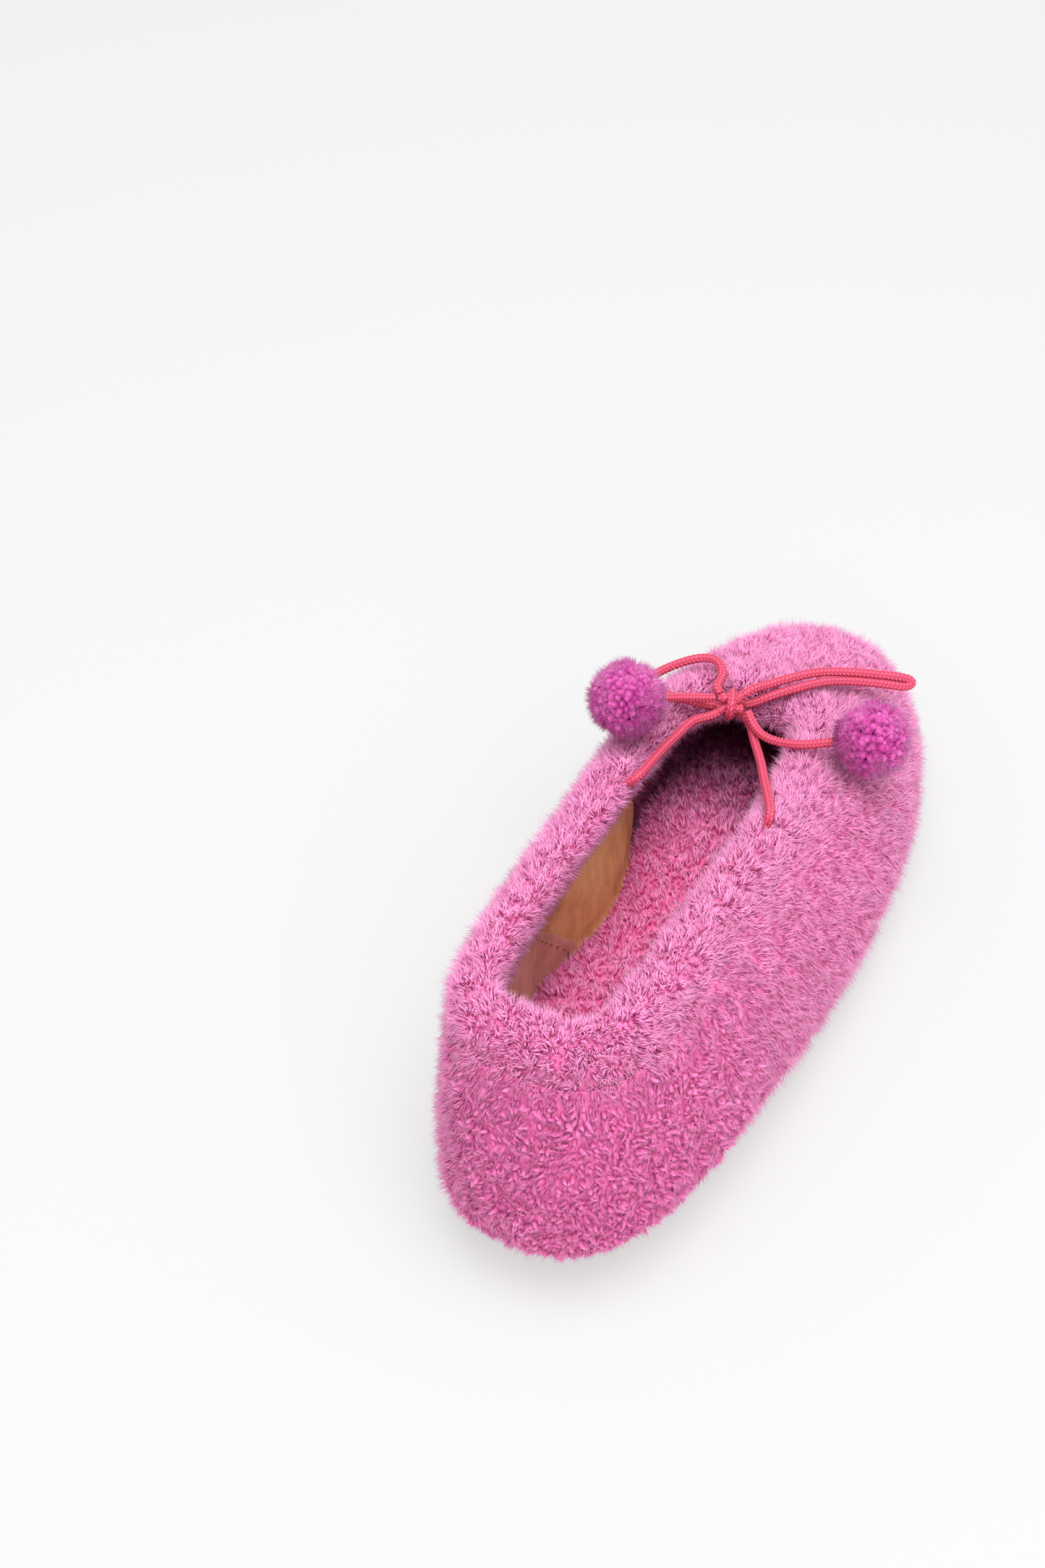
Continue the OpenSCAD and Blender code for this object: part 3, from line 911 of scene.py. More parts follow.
def settle(piece: bpy.types.Object) -> None:
    """Turns a piece's modifiers into its mesh.

    Args:
        piece: The object.
    """
    graph = bpy.context.evaluated_depsgraph_get()
    mesh = bpy.data.meshes.new_from_object(
        piece.evaluated_get(graph), preserve_all_data_layers=True, depsgraph=graph
    )
    piece.modifiers.clear()
    piece.data = mesh
    mesh.name = piece.name


def thicken(piece: bpy.types.Object, thickness: float, edge: float = 0.0) -> None:
    """Gives a sheet its thickness, inwards, with rounded edges.

    Args:
        piece: The sheet.
        thickness: Thickness in metres.
        edge: Radius of the edges, if they are rounded.
    """
    solid = piece.modifiers.new("Thickness", "SOLIDIFY")
    solid.thickness = thickness
    solid.offset = -1
    if edge:
        bevel = piece.modifiers.new("Edge", "BEVEL")
        bevel.width = edge
        bevel.segments = 2
    settle(piece)


def dress(piece: bpy.types.Object, finish: Finish, body: Body, *nodes: str) -> bpy.types.Object:
    """Gives a piece its finish, body and the CAD nodes that it stands for.

    Args:
        piece: The object.
        finish: Its finish.
        body: The CAD body that it rides on.
        nodes: CAD nodes that it replaces.

    Returns:
        The object.
    """
    piece.data.materials.clear()
    piece.data.materials.append(finish.material())
    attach(piece, body.value)
    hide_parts(*nodes)
    LOG.info("%s: %d faces", piece.name, len(piece.data.polygons))
    return piece


@dataclass(frozen=True)
class Tuft:
    """One soft lock with loose strands around it, one unit long, that a pile repeats."""

    strands: int = 6
    radius: float = 0.032
    fat: float = 0.075
    fat_sides: int = 4
    rows: int = 2
    sides: int = 3
    spread: float = 0.13
    splay: float = 1.2
    hook: float = 0.4
    twist: float = 0.6
    weld: float = 1e-4

    @property
    def triangles(self) -> int:
        """Triangles of one tuft."""
        lock = self.fat_sides * (2 * self.rows - 1) + self.fat_sides - 2
        return lock + self.strands * (2 * self.sides - 2)

    def strand(
        self,
        piece: Piece,
        sides: int,
        rows: int,
        centre: Line,
        radius: Callable[[float], float],
    ) -> None:
        """Adds one tapered strand.

        Args:
            piece: The tuft's piece.
            sides: Faces around it.
            rows: Faces along it.
            centre: Its middle line at a share of its length.
            radius: Its radius there.
        """
        height, side = piece.layer("height"), piece.layer("side")
        for vert in piece.flat(sides, rows):
            around, v = 2 * math.pi * vert.co.x, vert.co.y
            vert[height] = v
            vert[side] = math.cos(around)
            vert.co = centre(v) + radius(v) * Vector((math.cos(around), math.sin(around), 0))

    def build(self, name: str, seed: int) -> bpy.types.Object:
        """Makes one variant.

        Args:
            name: The object's name.
            seed: Its random seed.

        Returns:
            The tuft, outside the scene.
        """
        rng = random.Random(seed)
        piece = Piece(name)
        bend = rng.uniform(-0.5, 0.5)

        def line(away: float, angle: float, reach: float, hook: float, lean: float) -> Line:
            """Middle line of a strand.

            Args:
                away: Distance from the tuft's middle.
                angle: Where it stands around that.
                reach: Its length.
                hook: How far its tip bends over.
                lean: Direction of the bend.

            Returns:
                Its point at a share of its length.
            """

            def centre(v: float) -> Vector:
                """Its point at a share of its length.

                Args:
                    v: The share.

                Returns:
                    The point.
                """
                turn, out = angle + self.twist * v, away * (1 + self.splay * v)
                bent = hook * v * v * Vector((math.cos(lean), math.sin(lean), 0))
                rise = reach * v * (1 - 0.3 * hook * v)
                return bent + Vector((out * math.cos(turn), out * math.sin(turn), rise))

            return centre

        self.strand(
            piece,
            self.fat_sides,
            self.rows,
            line(0.0, 0.0, rng.uniform(0.55, 0.75), self.hook * rng.uniform(0.8, 1.3), bend),
            lambda v: self.fat * math.sqrt(1 - v * v),
        )
        for number in range(self.strands):
            angle = 2 * math.pi * (number + rng.uniform(-0.3, 0.3)) / self.strands
            reach, hook = rng.uniform(0.75, 1.1), self.hook * rng.uniform(0.5, 1.5)
            lean = bend + rng.uniform(-0.8, 0.8)
            self.strand(
                piece,
                self.sides,
                1,
                line(self.spread, angle, reach, hook, lean),
                lambda v: self.radius * (1 - v) ** 0.6,
            )
        piece.weld(self.weld)
        made = piece.build()
        bpy.context.scene.collection.objects.unlink(made)
        return made


WISP = Tuft()
LOCK = Tuft(strands=9, radius=0.03, fat=0.22, rows=3, spread=0.18, splay=0.4, hook=0.5, twist=1.2)
END = Tuft(strands=26, fat=0.36, fat_sides=7, rows=4, spread=0.24, splay=0.2, hook=0.1, twist=0.3)


@dataclass(frozen=True)
class Growth:
    """How wool stands at one place of a sheet."""

    length: float
    comb: Vector
    curl: float = 0.0
    tone: float = 0.5
    cover: float = 1.0


@dataclass(frozen=True)
class Pile:
    """Wool on a sheet: a skin with tufts scattered over its outside."""

    budget: int = 185_000
    cell: float = 3.6
    swirl: float = 2.6
    cleft: float = 0.3
    gather: tuple[float, float] = (0.2, 0.5)
    relief: float = 1.0
    # painted shade: how much darker the locks are in the clefts between them
    cleft_shade: float = 0.6
    clump: float = 0.3
    clump_size: float = 7.0
    clump_tone: float = 0.3
    patch_scale: float = 70.0
    patch_tone: float = 0.4
    lengths: tuple[float, float] = (0.8, 1.15)
    tones: tuple[float, float] = (-0.1, 0.1)
    stray: float = 0.35
    frizz: float = 0.5
    tangle: float = 0.8
    skin: float = 1.2
    curl_from: float = 0.3
    packing: float = 0.62
    # painted shade: the skin between the tufts takes low, dark tones near the roots
    root_tone: tuple[float, float] = (0.05, 0.6)
    root_height: tuple[float, float] = (0.1, 0.04)
    seed: int = 1
    straight: Tuft = WISP
    curled: Tuft = LOCK
    variants: int = 4

    def grow(self, sheet: bpy.types.Object, finish: PileFinish) -> bpy.types.Object:
        """Grows the pile on a sheet that holds its growth as attributes.

        Args:
            sheet: The sheet, whose normals point out of the wool.
            finish: The pile's finish.

        Returns:
            The same object, with skin and tufts as one mesh.
        """
        backing = self._backing(sheet)
        tufts = bpy.data.collections.new(sheet.name + "_tufts")
        for number in range(2 * self.variants):
            kind = self.straight if number < self.variants else self.curled
            tufts.objects.link(kind.build(f"{sheet.name}_tuft_{number}", self.seed * 100 + number))
        spacing = self._spacing(sheet)
        modifier = sheet.modifiers.new("Pile", "NODES")
        modifier.node_group = self._nodes(sheet.name, tufts, backing, finish, spacing)
        settle(sheet)
        for spent in [*tufts.objects, backing]:
            bpy.data.objects.remove(spent)
        bpy.data.collections.remove(tufts)
        self._press_down(sheet)
        triangles = sum(len(face.vertices) - 2 for face in sheet.data.polygons)
        if triangles > TRIANGLE_LIMIT:
            LOG.warning("%s has %d triangles", sheet.name, triangles)
        return sheet

    def _spacing(self, sheet: bpy.types.Object) -> float:
        """Distance between tufts, in metres, that uses the piece's budget of triangles.

        Args:
            sheet: The sheet.

        Returns:
            The distance.
        """
        cover, curl = (sheet.data.attributes[name].data for name in ("cover", "curl"))
        corners = [(face.area, face.vertices[0]) for face in sheet.data.polygons]
        parts = [(area * cover[corner].value, curl[corner].value) for area, corner in corners]
        area = sum(part for part, _ in parts)
        span = 1 - self.curl_from
        curled = sum(part * clamp((share - self.curl_from) / span) for part, share in parts) / area
        tufts = self.budget / mix(self.straight.triangles, self.curled.triangles, curled)
        return math.sqrt(self.packing * area / tufts)

    def _backing(self, sheet: bpy.types.Object) -> bpy.types.Object:
        """A copy of the sheet with the skin's thickness, mapped to the roots' darker tones as painted shade
        under the tufts.

        Args:
            sheet: The sheet.

        Returns:
            The skin, outside the scene.
        """
        backing = bpy.data.objects.new(sheet.name + "_skin", sheet.data.copy())
        put(backing)
        thicken(backing, self.skin * MM)
        mesh = backing.data
        tones = mesh.attributes["tone"].data
        roots = mesh.uv_layers.new(name=TONE_MAP)
        for loop in mesh.loops:
            rise = self.root_height[0] + self.root_height[1] * (loop.vertex_index % 3)
            roots.uv[loop.index].vector = (mix(*self.root_tone, tones[loop.vertex_index].value), rise)
        bpy.context.scene.collection.objects.unlink(backing)
        return backing

    @staticmethod
    def _press_down(sheet: bpy.types.Object) -> None:
        """Presses wool that would reach under the floor flat on it.

        Args:
            sheet: The finished wool.
        """
        floor = 0.2 * MM
        for vert in sheet.data.vertices:
            if vert.co.z < floor:
                vert.co.z = floor + 0.1 * (floor - vert.co.z)

    def _turned(self, graph: Graph, normal: Socket, cells: dict[str, object]) -> Socket:
        """Rotation of each tuft.

        Args:
            graph: The scatter's nodes.
            normal: The sheet's normal at the tuft.
            cells: Inputs of the pattern of locks.

        Returns:
            The rotation: with the comb, towards the lock's middle and a little at random.
        """
        curl = graph.held("curl")
        lock = graph.add("ShaderNodeTexVoronoi", {}, cells, "Position")
        pull = (self.gather[0] + (self.gather[1] - self.gather[0]) * curl) / graph.held("pile")
        stray = lock.other("Color").vector("SUBTRACT", MIDDLE).scaled(self.stray * (1.0 + 1.5 * curl))
        frizz = graph.add(
            "FunctionNodeRandomValue",
            {"data_type": "FLOAT_VECTOR"},
            {0: (-self.frizz,) * 3, 1: (self.frizz,) * 3, "Seed": self.seed + 5},
        )
        lean = normal.vector("ADD", graph.held("comb", "FLOAT_VECTOR"))
        lean = lean.vector("ADD", lock.vector("SUBTRACT", cells["Vector"]).scaled(pull))
        lean = lean.vector("ADD", stray).vector("ADD", frizz.scaled(1.0 - 0.7 * curl))
        aim = graph.add("FunctionNodeAlignRotationToVector", {"axis": "Z"}, {"Vector": lean})
        twirl = graph.add("ShaderNodeSeparateXYZ", {}, {0: lock.other("Color")}, "X")
        angle = 2 * math.pi * twirl + graph.chance(-self.tangle, self.tangle, self.seed + 1)
        spin = graph.add("FunctionNodeAxisAngleToRotation", {}, {"Axis": (0, 0, 1), "Angle": angle})
        return graph.add(
            "FunctionNodeRotateRotation", {"rotation_space": "LOCAL"}, {"Rotation": aim, "Rotate By": spin}
        )

    def _planted(
        self,
        graph: Graph,
        points: Socket,
        root: Socket,
        cells: dict[str, object],
        tufts: bpy.types.Collection,
    ) -> Socket:
        """The tufts on their points.

        Args:
            graph: The scatter's nodes.
            points: The points.
            root: A point's place.
            cells: Inputs of the pattern of locks.
            tufts: The variants.

        Returns:
            Instances that hold their tone, curl and outward direction.
        """
        curl, normal = graph.held("curl"), points.other("Normal")
        curled = curl > graph.chance(self.curl_from, 1, self.seed + 2)
        pick = graph.chance(0, self.variants - 0.01, self.seed + 3) + curled * float(self.variants)
        clump = graph.noise(root, 1 / (self.clump_size * MM), 2.0) - 0.5
        length = graph.held("pile") * graph.chance(*self.lengths, self.seed + 6)
        reach = length * (1.0 + 2 * self.clump * clump)
        patch = graph.noise(root, self.patch_scale, 3.0) - 0.5
        tone = graph.held("tone") + graph.chance(*self.tones, self.seed + 4)
        tone = tone + self.patch_tone * patch + self.clump_tone * clump
        variants = {"Collection": tufts, "Separate Children": True}
        kept = graph.add(
            "GeometryNodeInstanceOnPoints",
            {},
            {
                "Points": points,
                "Instance": graph.add("GeometryNodeCollectionInfo", {}, variants),
                "Pick Instance": True,
                "Instance Index": pick.maths("FLOOR"),
                "Rotation": self._turned(graph, normal, cells),
                "Scale": graph.add("ShaderNodeCombineXYZ", {}, dict.fromkeys(range(3), reach)),
            },
        )
        for name, kind, value in (
            ("lock_tone", "FLOAT", tone),
            ("lock_curl", "FLOAT", curl),
            ("lock_out", "FLOAT_VECTOR", normal),
        ):
            kept = graph.add(
                "GeometryNodeStoreNamedAttribute",
                {"data_type": kind, "domain": "INSTANCE"},
                {"Geometry": kept, "Name": name, "Value": value},
            )
        return kept

    def _sculpted(self, graph: Graph, kept: Socket, cells: dict[str, object]) -> Socket:
        """The tufts as a mesh, sunk in the clefts between locks and darkened there as painted shade.

        Args:
            graph: The scatter's nodes.
            kept: The instances.
            cells: Inputs of the pattern of locks.

        Returns:
            The mesh with its map of tone and height.
        """
        edge = graph.add("ShaderNodeTexVoronoi", {"feature": "DISTANCE_TO_EDGE"}, cells)
        height = graph.held("height")
        cleft = graph.held("lock_curl") * (1.0 - (edge / self.cleft).clamped())
        sunk = graph.held("lock_out", "FLOAT_VECTOR").scaled(-self.relief * MM * cleft * height)
        real = graph.add("GeometryNodeRealizeInstances", {}, {0: kept})
        lowered = graph.add("GeometryNodeSetPosition", {}, {"Geometry": real, "Offset": sunk})
        # painted shade: in the clefts the tone drops and the strands map lower on the root-to-tip ramp
        tone = (graph.held("lock_tone") - self.cleft_shade * cleft).clamped()
        # the map stays inside its tile, and each strand has some width in it
        across = 0.03 + 0.94 * tone + 0.02 * graph.held("side")
        upward = 0.01 + 0.98 * height * (1.0 - 0.5 * cleft)
        value = graph.add("ShaderNodeCombineXYZ", {}, {0: across, 1: upward})
        return graph.add(
            "GeometryNodeStoreNamedAttribute",
            {"data_type": "FLOAT2", "domain": "CORNER"},
            {"Geometry": lowered, "Name": TONE_MAP, "Value": value},
        )

    def _nodes(
        self,
        name: str,
        tufts: bpy.types.Collection,
        backing: bpy.types.Object,
        finish: PileFinish,
        spacing: float,
    ) -> bpy.types.NodeTree:
        """The scatter of tufts over the skin, as one mesh.

        Args:
            name: The piece's name.
            tufts: The variants.
            backing: The skin.
            finish: The pile's finish.
            spacing: Least distance between tufts, in metres.

        Returns:
            The node tree.
        """
        tree = bpy.data.node_groups.new(name + "_pile", "GeometryNodeTree")
        for way in ("INPUT", "OUTPUT"):
            tree.interface.new_socket("Geometry", in_out=way, socket_type="NodeSocketGeometry")
        graph = Graph(tree)
        points = graph.add(
            "GeometryNodeDistributePointsOnFaces",
            {"distribute_method": "POISSON"},
            {
                "Mesh": graph.add("NodeGroupInput"),
                "Distance Min": spacing,
                "Density Max": 4.0 / spacing**2,
                "Density Factor": graph.held("cover"),
                "Seed": self.seed,
            },
        )
        root = graph.add("GeometryNodeInputPosition")
        drift = graph.noise(root, 0.6 / (self.cell * MM), 2.0).other("Color").vector("SUBTRACT", MIDDLE)
        place = root.vector("ADD", drift.scaled(self.swirl * MM))
        cells = {"Vector": place, "Scale": 1 / (self.cell * MM)}
        mapped = self._sculpted(graph, self._planted(graph, points, root, cells, tufts), cells)
        joined = graph.add("GeometryNodeJoinGeometry", {}, {0: mapped})
        skin = graph.add("GeometryNodeObjectInfo", {}, {"Object": backing}, "Geometry")
        tree.links.new(skin.output, joined.output.node.inputs[0])
        dressed = {"Geometry": joined, "Material": finish.material()}
        graph.add("NodeGroupOutput", {}, {0: graph.add("GeometryNodeSetMaterial", {}, dressed)})
        return tree


def wool_sheet(
    name: str, columns: int, rows: int, place: Place, growth: Callable[[float, float], Growth]
) -> bpy.types.Object:
    """A sheet that holds how wool grows on it.

    Args:
        name: The piece's name.
        columns: Faces along the first direction.
        rows: Faces along the second one.
        place: Point of the sheet at two shares, in metres.
        growth: Growth at two shares, in millimetres.

    Returns:
        The sheet.
    """
    piece = Piece(name)
    floats = {key: piece.layer(key) for key in ("pile", "curl", "tone", "cover")}
    comb = piece.bm.verts.layers.float_vector.new("comb")
    for vert in piece.flat(columns, rows):
        u, v = vert.co.x, vert.co.y
        grown = growth(u, v)
        vert[floats["pile"]] = grown.length * MM
        vert[floats["curl"]] = grown.curl
        vert[floats["tone"]] = grown.tone
        vert[floats["cover"]] = grown.cover
        vert[comb] = grown.comb
        vert.co = place(u, v)
    return piece.build()


@dataclass
class Upper:
    """Sheepskin vamp, quarters and bindings."""

    top_row: float = 0.84
    margin_inset: float = 8.0
    wall_tuft: float = 4.6
    hem_tuft: float = 3.0
    heel_hem_tuft: float = 4.4
    roll_tuft: float = 4.8
    inner_tuft: float = 3.6
    sunk: float = 0.55
    binding_row: float = 0.8
    tucked: float = 1.6
    slot_half: float = 0.3
    curl_tuft: float = 4.0
    curl_at: float = 24.0
    curl_span: float = 42.0
    heel_tone: float = 0.28
    side_tone: float = 0.25
    toe_tone: float = 0.28
    hem_tone: float = 0.1
    roll_tone: float = 0.6
    wall_comb: float = 0.9
    roll_comb: float = 0.35
    least_curl: float = 0.1
    roll_curl: float = 0.15
    wall_step: float = 1.6
    wall_rows: int = 26
    roll_step: float = 1.3
    roll_rows: int = 24

    def tuft(self, t: float, v: float) -> float:
        """Tuft length at a row, shorter at the hem."""
        hem = mix(self.hem_tuft, self.heel_hem_tuft, LAST.ground(LAST.widest(t).y) / LAST.heel_h)
        return mix(mix(hem, self.wall_tuft, ease(v + 1)), self.curl_tuft, self.curl(t, v))

    def wall(self, t: float, row: float) -> Vector:
        """Point of the skin under the wool, from the margin under the board up to the binding.

        Args:
            t: Angle around the last.
            row: Row on the wall, below -1 under the board.

        Returns:
            The point, in metres.
        """
        hem, feather = -1.0, -1.25
        if row >= hem:
            return LAST.layer(t, row, LAYERS.wool_at(row) - self.sunk * self.tuft(t, row)) * MM
        under = LAST.edge(t, 0, LAST.margin_z)
        if row >= feather:
            start = LAST.layer(t, hem, LAYERS.wool_at(hem) - self.sunk * self.tuft(t, hem))
            return start.lerp(under, (hem - row) / (hem - feather)) * MM
        inset = self.margin_inset * (feather - row) / (hem - feather)
        return LAST.edge(t, inset, LAST.margin_z) * MM

    def curl(self, t: float, v: float) -> float:
        """How curled the wool is: most on the lateral side of the heel."""
        around = abs((t + 180) % 360 - 180 - self.curl_at) / self.curl_span
        return clamp(1.15 - around * around) * ease((0.95 - v) / 0.35) * ease((v + 0.9) / 0.4)

    def growth(self, t: float, row: float) -> Growth:
        """Growth of the wool on the wall.

        Args:
            t: Angle around the last.
            row: Row on the wall.

        Returns:
            The growth.
        """
        v = max(row, -1.0)
        down = -LAST.up_wall(t, v)
        toe = ease((LAST.share(t) - 0.55) / 0.4)
        side = ease(LAST.share(t) / 0.4)
        # The heel's low tone and the paler sides and toe are partly the wool's own tone and partly painted
        # light; the tone also drops towards the hem.
        tone = self.heel_tone + self.side_tone * side + self.toe_tone * toe - self.hem_tone * ease(-v)
        cover = ease((row + 1.2) / 0.15)
        curl = self.least_curl + (1 - self.least_curl) * self.curl(t, v)
        return Growth(self.tuft(t, v), self.wall_comb * down, curl, tone, cover)

    def skin(self, name: str, t0: float, t1: float, pile: Pile) -> None:
        """One sheepskin panel of the wall.

        Args:
            name: The CAD node that it replaces.
            t0: Angle of its first edge.
            t1: Angle of its second edge.
            pile: Its wool.
        """
        low, high = -1.5, self.top_row
        sheet = wool_sheet(
            name + "_wool",
            round((t1 - t0) / self.wall_step),
            self.wall_rows,
            lambda u, s: self.wall(mix(t0, t1, u), mix(low, high, s)),
            lambda u, s: self.growth(mix(t0, t1, u), mix(low, high, s)),
        )
        pile.grow(sheet, WOOL)
        dress(sheet, WOOL, Body.SLIPPER, name)

    def roll(self, t: float, s: float) -> tuple[Vector, Vector, float]:
        """Section of the binding: over the wall's top, around the topline and down inside.

        Args:
            t: Angle around the last.
            s: Share of the way from the outer to the inner edge.

        Returns:
            The skin's point in metres, the direction of the comb and the length of the wool.
        """
        outer, inner = 0.28, 0.74
        if s < outer:
            v = mix(self.binding_row, 1.0, s / outer)
            depth = self.sunk * self.roll_tuft + self.tucked * (1 - s / outer) ** 2
            return LAST.layer(t, v, LAYERS.wool - depth) * MM, -LAST.up_wall(t, v), self.roll_tuft
        if s <= inner:
            turned = (s - outer) / (inner - outer)
            a = math.pi * turned
            tuft = mix(self.roll_tuft, self.inner_tuft, ease(2 * turned - 1))
            radius = LAYERS.wool if a < math.pi / 2 else LAYERS.roll_pile
            across = (radius - self.sunk * tuft) * math.cos(a)
            place = LAST.at_topline(t, across, (LAYERS.wool - self.sunk * tuft) * math.sin(a))
            return place * MM, LAST.out_wall(t, 1) * math.cos(a), tuft
        fall = (s - inner) / (1 - inner)
        v = mix(1.0, self.binding_row, fall)
        reach = LAYERS.roll_pile * mix(1.0, LAYERS.roll_taper, ease(2 * fall - 1))
        least = LAYERS.lining + LAYERS.stiffener + 3 * LAYERS.gap + 0.3
        place = LAST.layer(t, v, -max(least, reach - self.sunk * self.inner_tuft))
        return place * MM, -LAST.up_wall(t, v), self.inner_tuft

    def binding(self, name: str, t0: float, t1: float, seed: int) -> None:
        """One length of the rolled binding.

        Args:
            name: The CAD node that it replaces.
            t0: Angle of its first end.
            t1: Angle of its second end.
            seed: Random seed of its wool.
        """

        def growth(u: float, s: float) -> Growth:
            """Growth of the wool on the roll.

            Args:
                u: Share of its length.
                s: Share of the way from the outer to the inner edge.

            Returns:
                The growth.
            """
            t = mix(t0, t1, u)
            _, comb, length = self.roll(t, s)
            # the binding's high tone is partly the wool's own tone and partly painted light on the collar
            return Growth(length, self.roll_comb * comb, self.roll_curl, self.roll_tone)

        sheet = wool_sheet(
            name + "_wool",
            round((t1 - t0) / self.roll_step),
            self.roll_rows,
            lambda u, s: self.roll(mix(t0, t1, u), s)[0],
            growth,
        )
        Pile(cleft_shade=0.35, frizz=0.65, clump=0.6, clump_size=5.0, seed=seed).grow(sheet, WOOL)
        dress(sheet, WOOL, Body.SLIPPER, name)

    def build(self) -> None:
        """Makes the panels and bindings."""
        self.skin("quarter_lateral", 0, SEAM, Pile(seed=11))
        self.skin("quarter_medial", 360 - SEAM, 360, Pile(seed=12))
        self.skin("vamp", SEAM, 360 - SEAM, Pile(relief=0.45, cleft_shade=0.3, seed=13))
        lateral, medial = SLOTS
        self.binding("collar_binding", medial + self.slot_half, 360 + lateral - self.slot_half, 14)
        self.binding("throat_binding", lateral + self.slot_half, medial - self.slot_half, 15)


@dataclass
class Inside:
    """Linings, heel grip with its seams, and the sheepskin footbed."""

    lining_row: float = -0.8
    grip_span: float = 80.0
    grip_row: float = 0.8
    stitches: int = 22
    stitch: float = 1.7
    thread: float = 0.6
    stitch_edge: float = 2.4
    footbed_z: float = 10.7
    footbed_pile: float = 8.0
    footbed_crown: float = 1.0
    footbed_spread: float = 1.8
    footbed_fall: float = 5.5
    sunk: float = 0.55
    footbed_tuft: float = 5.0
    footbed_curl: float = 0.2
    edge_trim: float = 0.4
    open_tone: float = 1.2
    shade_from: float = 0.53
    shade_span: float = 0.12
    toe_cover: float = 0.4
    toe_tuft: float = 3.5
    toe_row: float = 0.95
    toe_depth: float = 0.4
    toe_comb: float = 0.3
    toe_curl: float = 0.1
    # painted shade of the toe's hollow
    toe_tone: float = 0.1
    front_top: float = 254.0
    front_low: float = 260.0
    grip_lean: float = 22.0

    def shell(self, name: str, ends: Ends, top: float, depth: float, finish: Finish, node: str) -> None:
        """A thin leather shell inside the wall.

        Args:
            name: The piece's name.
            ends: Angles of its medial and lateral ends at a row.
            top: Its upper row.
            depth: How far it lies inside the lining's outer face.
            finish: Its finish.
            node: The CAD node that it replaces.
        """

        def place(u: float, s: float) -> Vector:
            """Outer face of the shell.

            Args:
                u: Share of the way from the medial to the lateral end.
                s: Share of the way up.

            Returns:
                The point, in metres.
            """
            v = mix(self.lining_row, top, s)
            t = mix(*ends(v), u)
            return LAST.layer(t, v, LAYERS.lining_out(t, v) - depth) * MM

        piece = Piece(name)
        piece.grid(120, 30, place)
        shell = piece.build()
        thicken(shell, LAYERS.lining * MM, 0.25 * MM)
        dress(shell, finish, Body.SLIPPER, node)

    def lining_ends(self, v: float) -> tuple[float, float]:
        """Ends of the quarters' lining at a row."""
        front = mix(self.front_low, self.front_top, ease((v - self.lining_row) / 0.9)) - 360
        return front, SEAM

    def grip_ends(self, v: float) -> tuple[float, float]:
        """Ends of the heel grip at a row: its front edges lean back."""
        span = self.grip_span - self.grip_lean * max(v, 0)
        return -span, span

    def seams(self) -> None:
        """Stitches along both ends of the heel grip."""
        piece = Piece("heel_grip_stitches")
        degrees = self.stitch_edge / (LAST.length / 360 * 1.6)
        depth = LAYERS.lining + LAYERS.gap + LAYERS.grip + 0.1
        for side in (0, 1):
            for number in range(self.stitches):
                v = mix(self.lining_row, self.grip_row, (number + 0.5) / self.stitches)
                t = self.grip_ends(v)[side] + (degrees, -degrees)[side]
                ahead = self.grip_ends(v + 0.03)[side] + (degrees, -degrees)[side]
                up = LAST.point(ahead, v + 0.03) - LAST.point(t, v)
                spot = LAST.layer(t, v, LAYERS.lining_out(t, v) - depth) * MM
                turn = up.to_track_quat("Z", "Y").to_matrix().to_4x4()
                size = Matrix.Diagonal((self.thread, self.thread, self.stitch, 1 / MM)) * MM
                placed = Matrix.Translation(spot) @ turn @ size
                bmesh.ops.create_uvsphere(piece.bm, u_segments=8, v_segments=6, radius=0.5, matrix=placed)
        for face in piece.bm.faces:
            face.smooth = True
        dress(piece.build(), THREAD, Body.SLIPPER, "heel_grip_stitching")

    def toe_wool(self) -> None:
        """Short wool on the lining of the toe, with a low tone that is painted shade of the toe's hollow."""
        t0, t1 = self.front_top, SEAM

        def place(u: float, s: float) -> Vector:
            """Inner face of the lining."""
            t, v = mix(t0, t1, u), mix(self.lining_row, self.toe_row, s)
            return LAST.layer(t, v, LAYERS.lining_out(t, v) - self.toe_depth) * MM

        def growth(u: float, s: float) -> Growth:
            """Short wool, combed towards the toe, its low tone painted shade.

            Args:
                u: Share of the way from the medial to the lateral end.
                s: Share of the way up.

            Returns:
                The growth.
            """
            t, v = mix(t0, t1, u), mix(self.lining_row, self.toe_row, s)
            comb = -self.toe_comb * LAST.up_wall(t, v)
            return Growth(self.toe_tuft, comb, self.toe_curl, self.toe_tone)

        sheet = wool_sheet("vamp_lining_wool", 80, 16, place, growth)
        Pile(skin=0.8, budget=120_000, seed=21).grow(sheet, INSIDE_WOOL_WITH_SHADE)
        dress(sheet, INSIDE_WOOL_WITH_SHADE, Body.SLIPPER, "vamp_lining")

    def footbed(self) -> None:
        """Sheepskin footbed, whose wool spreads against the linings."""

        def place(u: float, s: float) -> Vector:
            """Skin of the footbed, crowned along its middle.

            Args:
                u: Share of the way from heel to toe.
                s: Share of the way from the medial to the lateral edge.

            Returns:
                The point, in metres.
            """
            t = LAST.rail(u)
            inset = self.footbed_spread * (LAYERS.stiffened(t, 0) - 1)
            a, b = LAST.edge(-t, inset, 0), LAST.edge(t, inset, 0)
            point = a.lerp(b, s)
            crown = self.footbed_crown * (1 - (2 * s - 1) ** 2) - self.footbed_fall * (2 * s - 1) ** 4
            low = self.footbed_z + self.footbed_pile - self.sunk * self.footbed_tuft
            return Vector((point.x, point.y, LAST.ground(point.y) + low + crown)) * MM

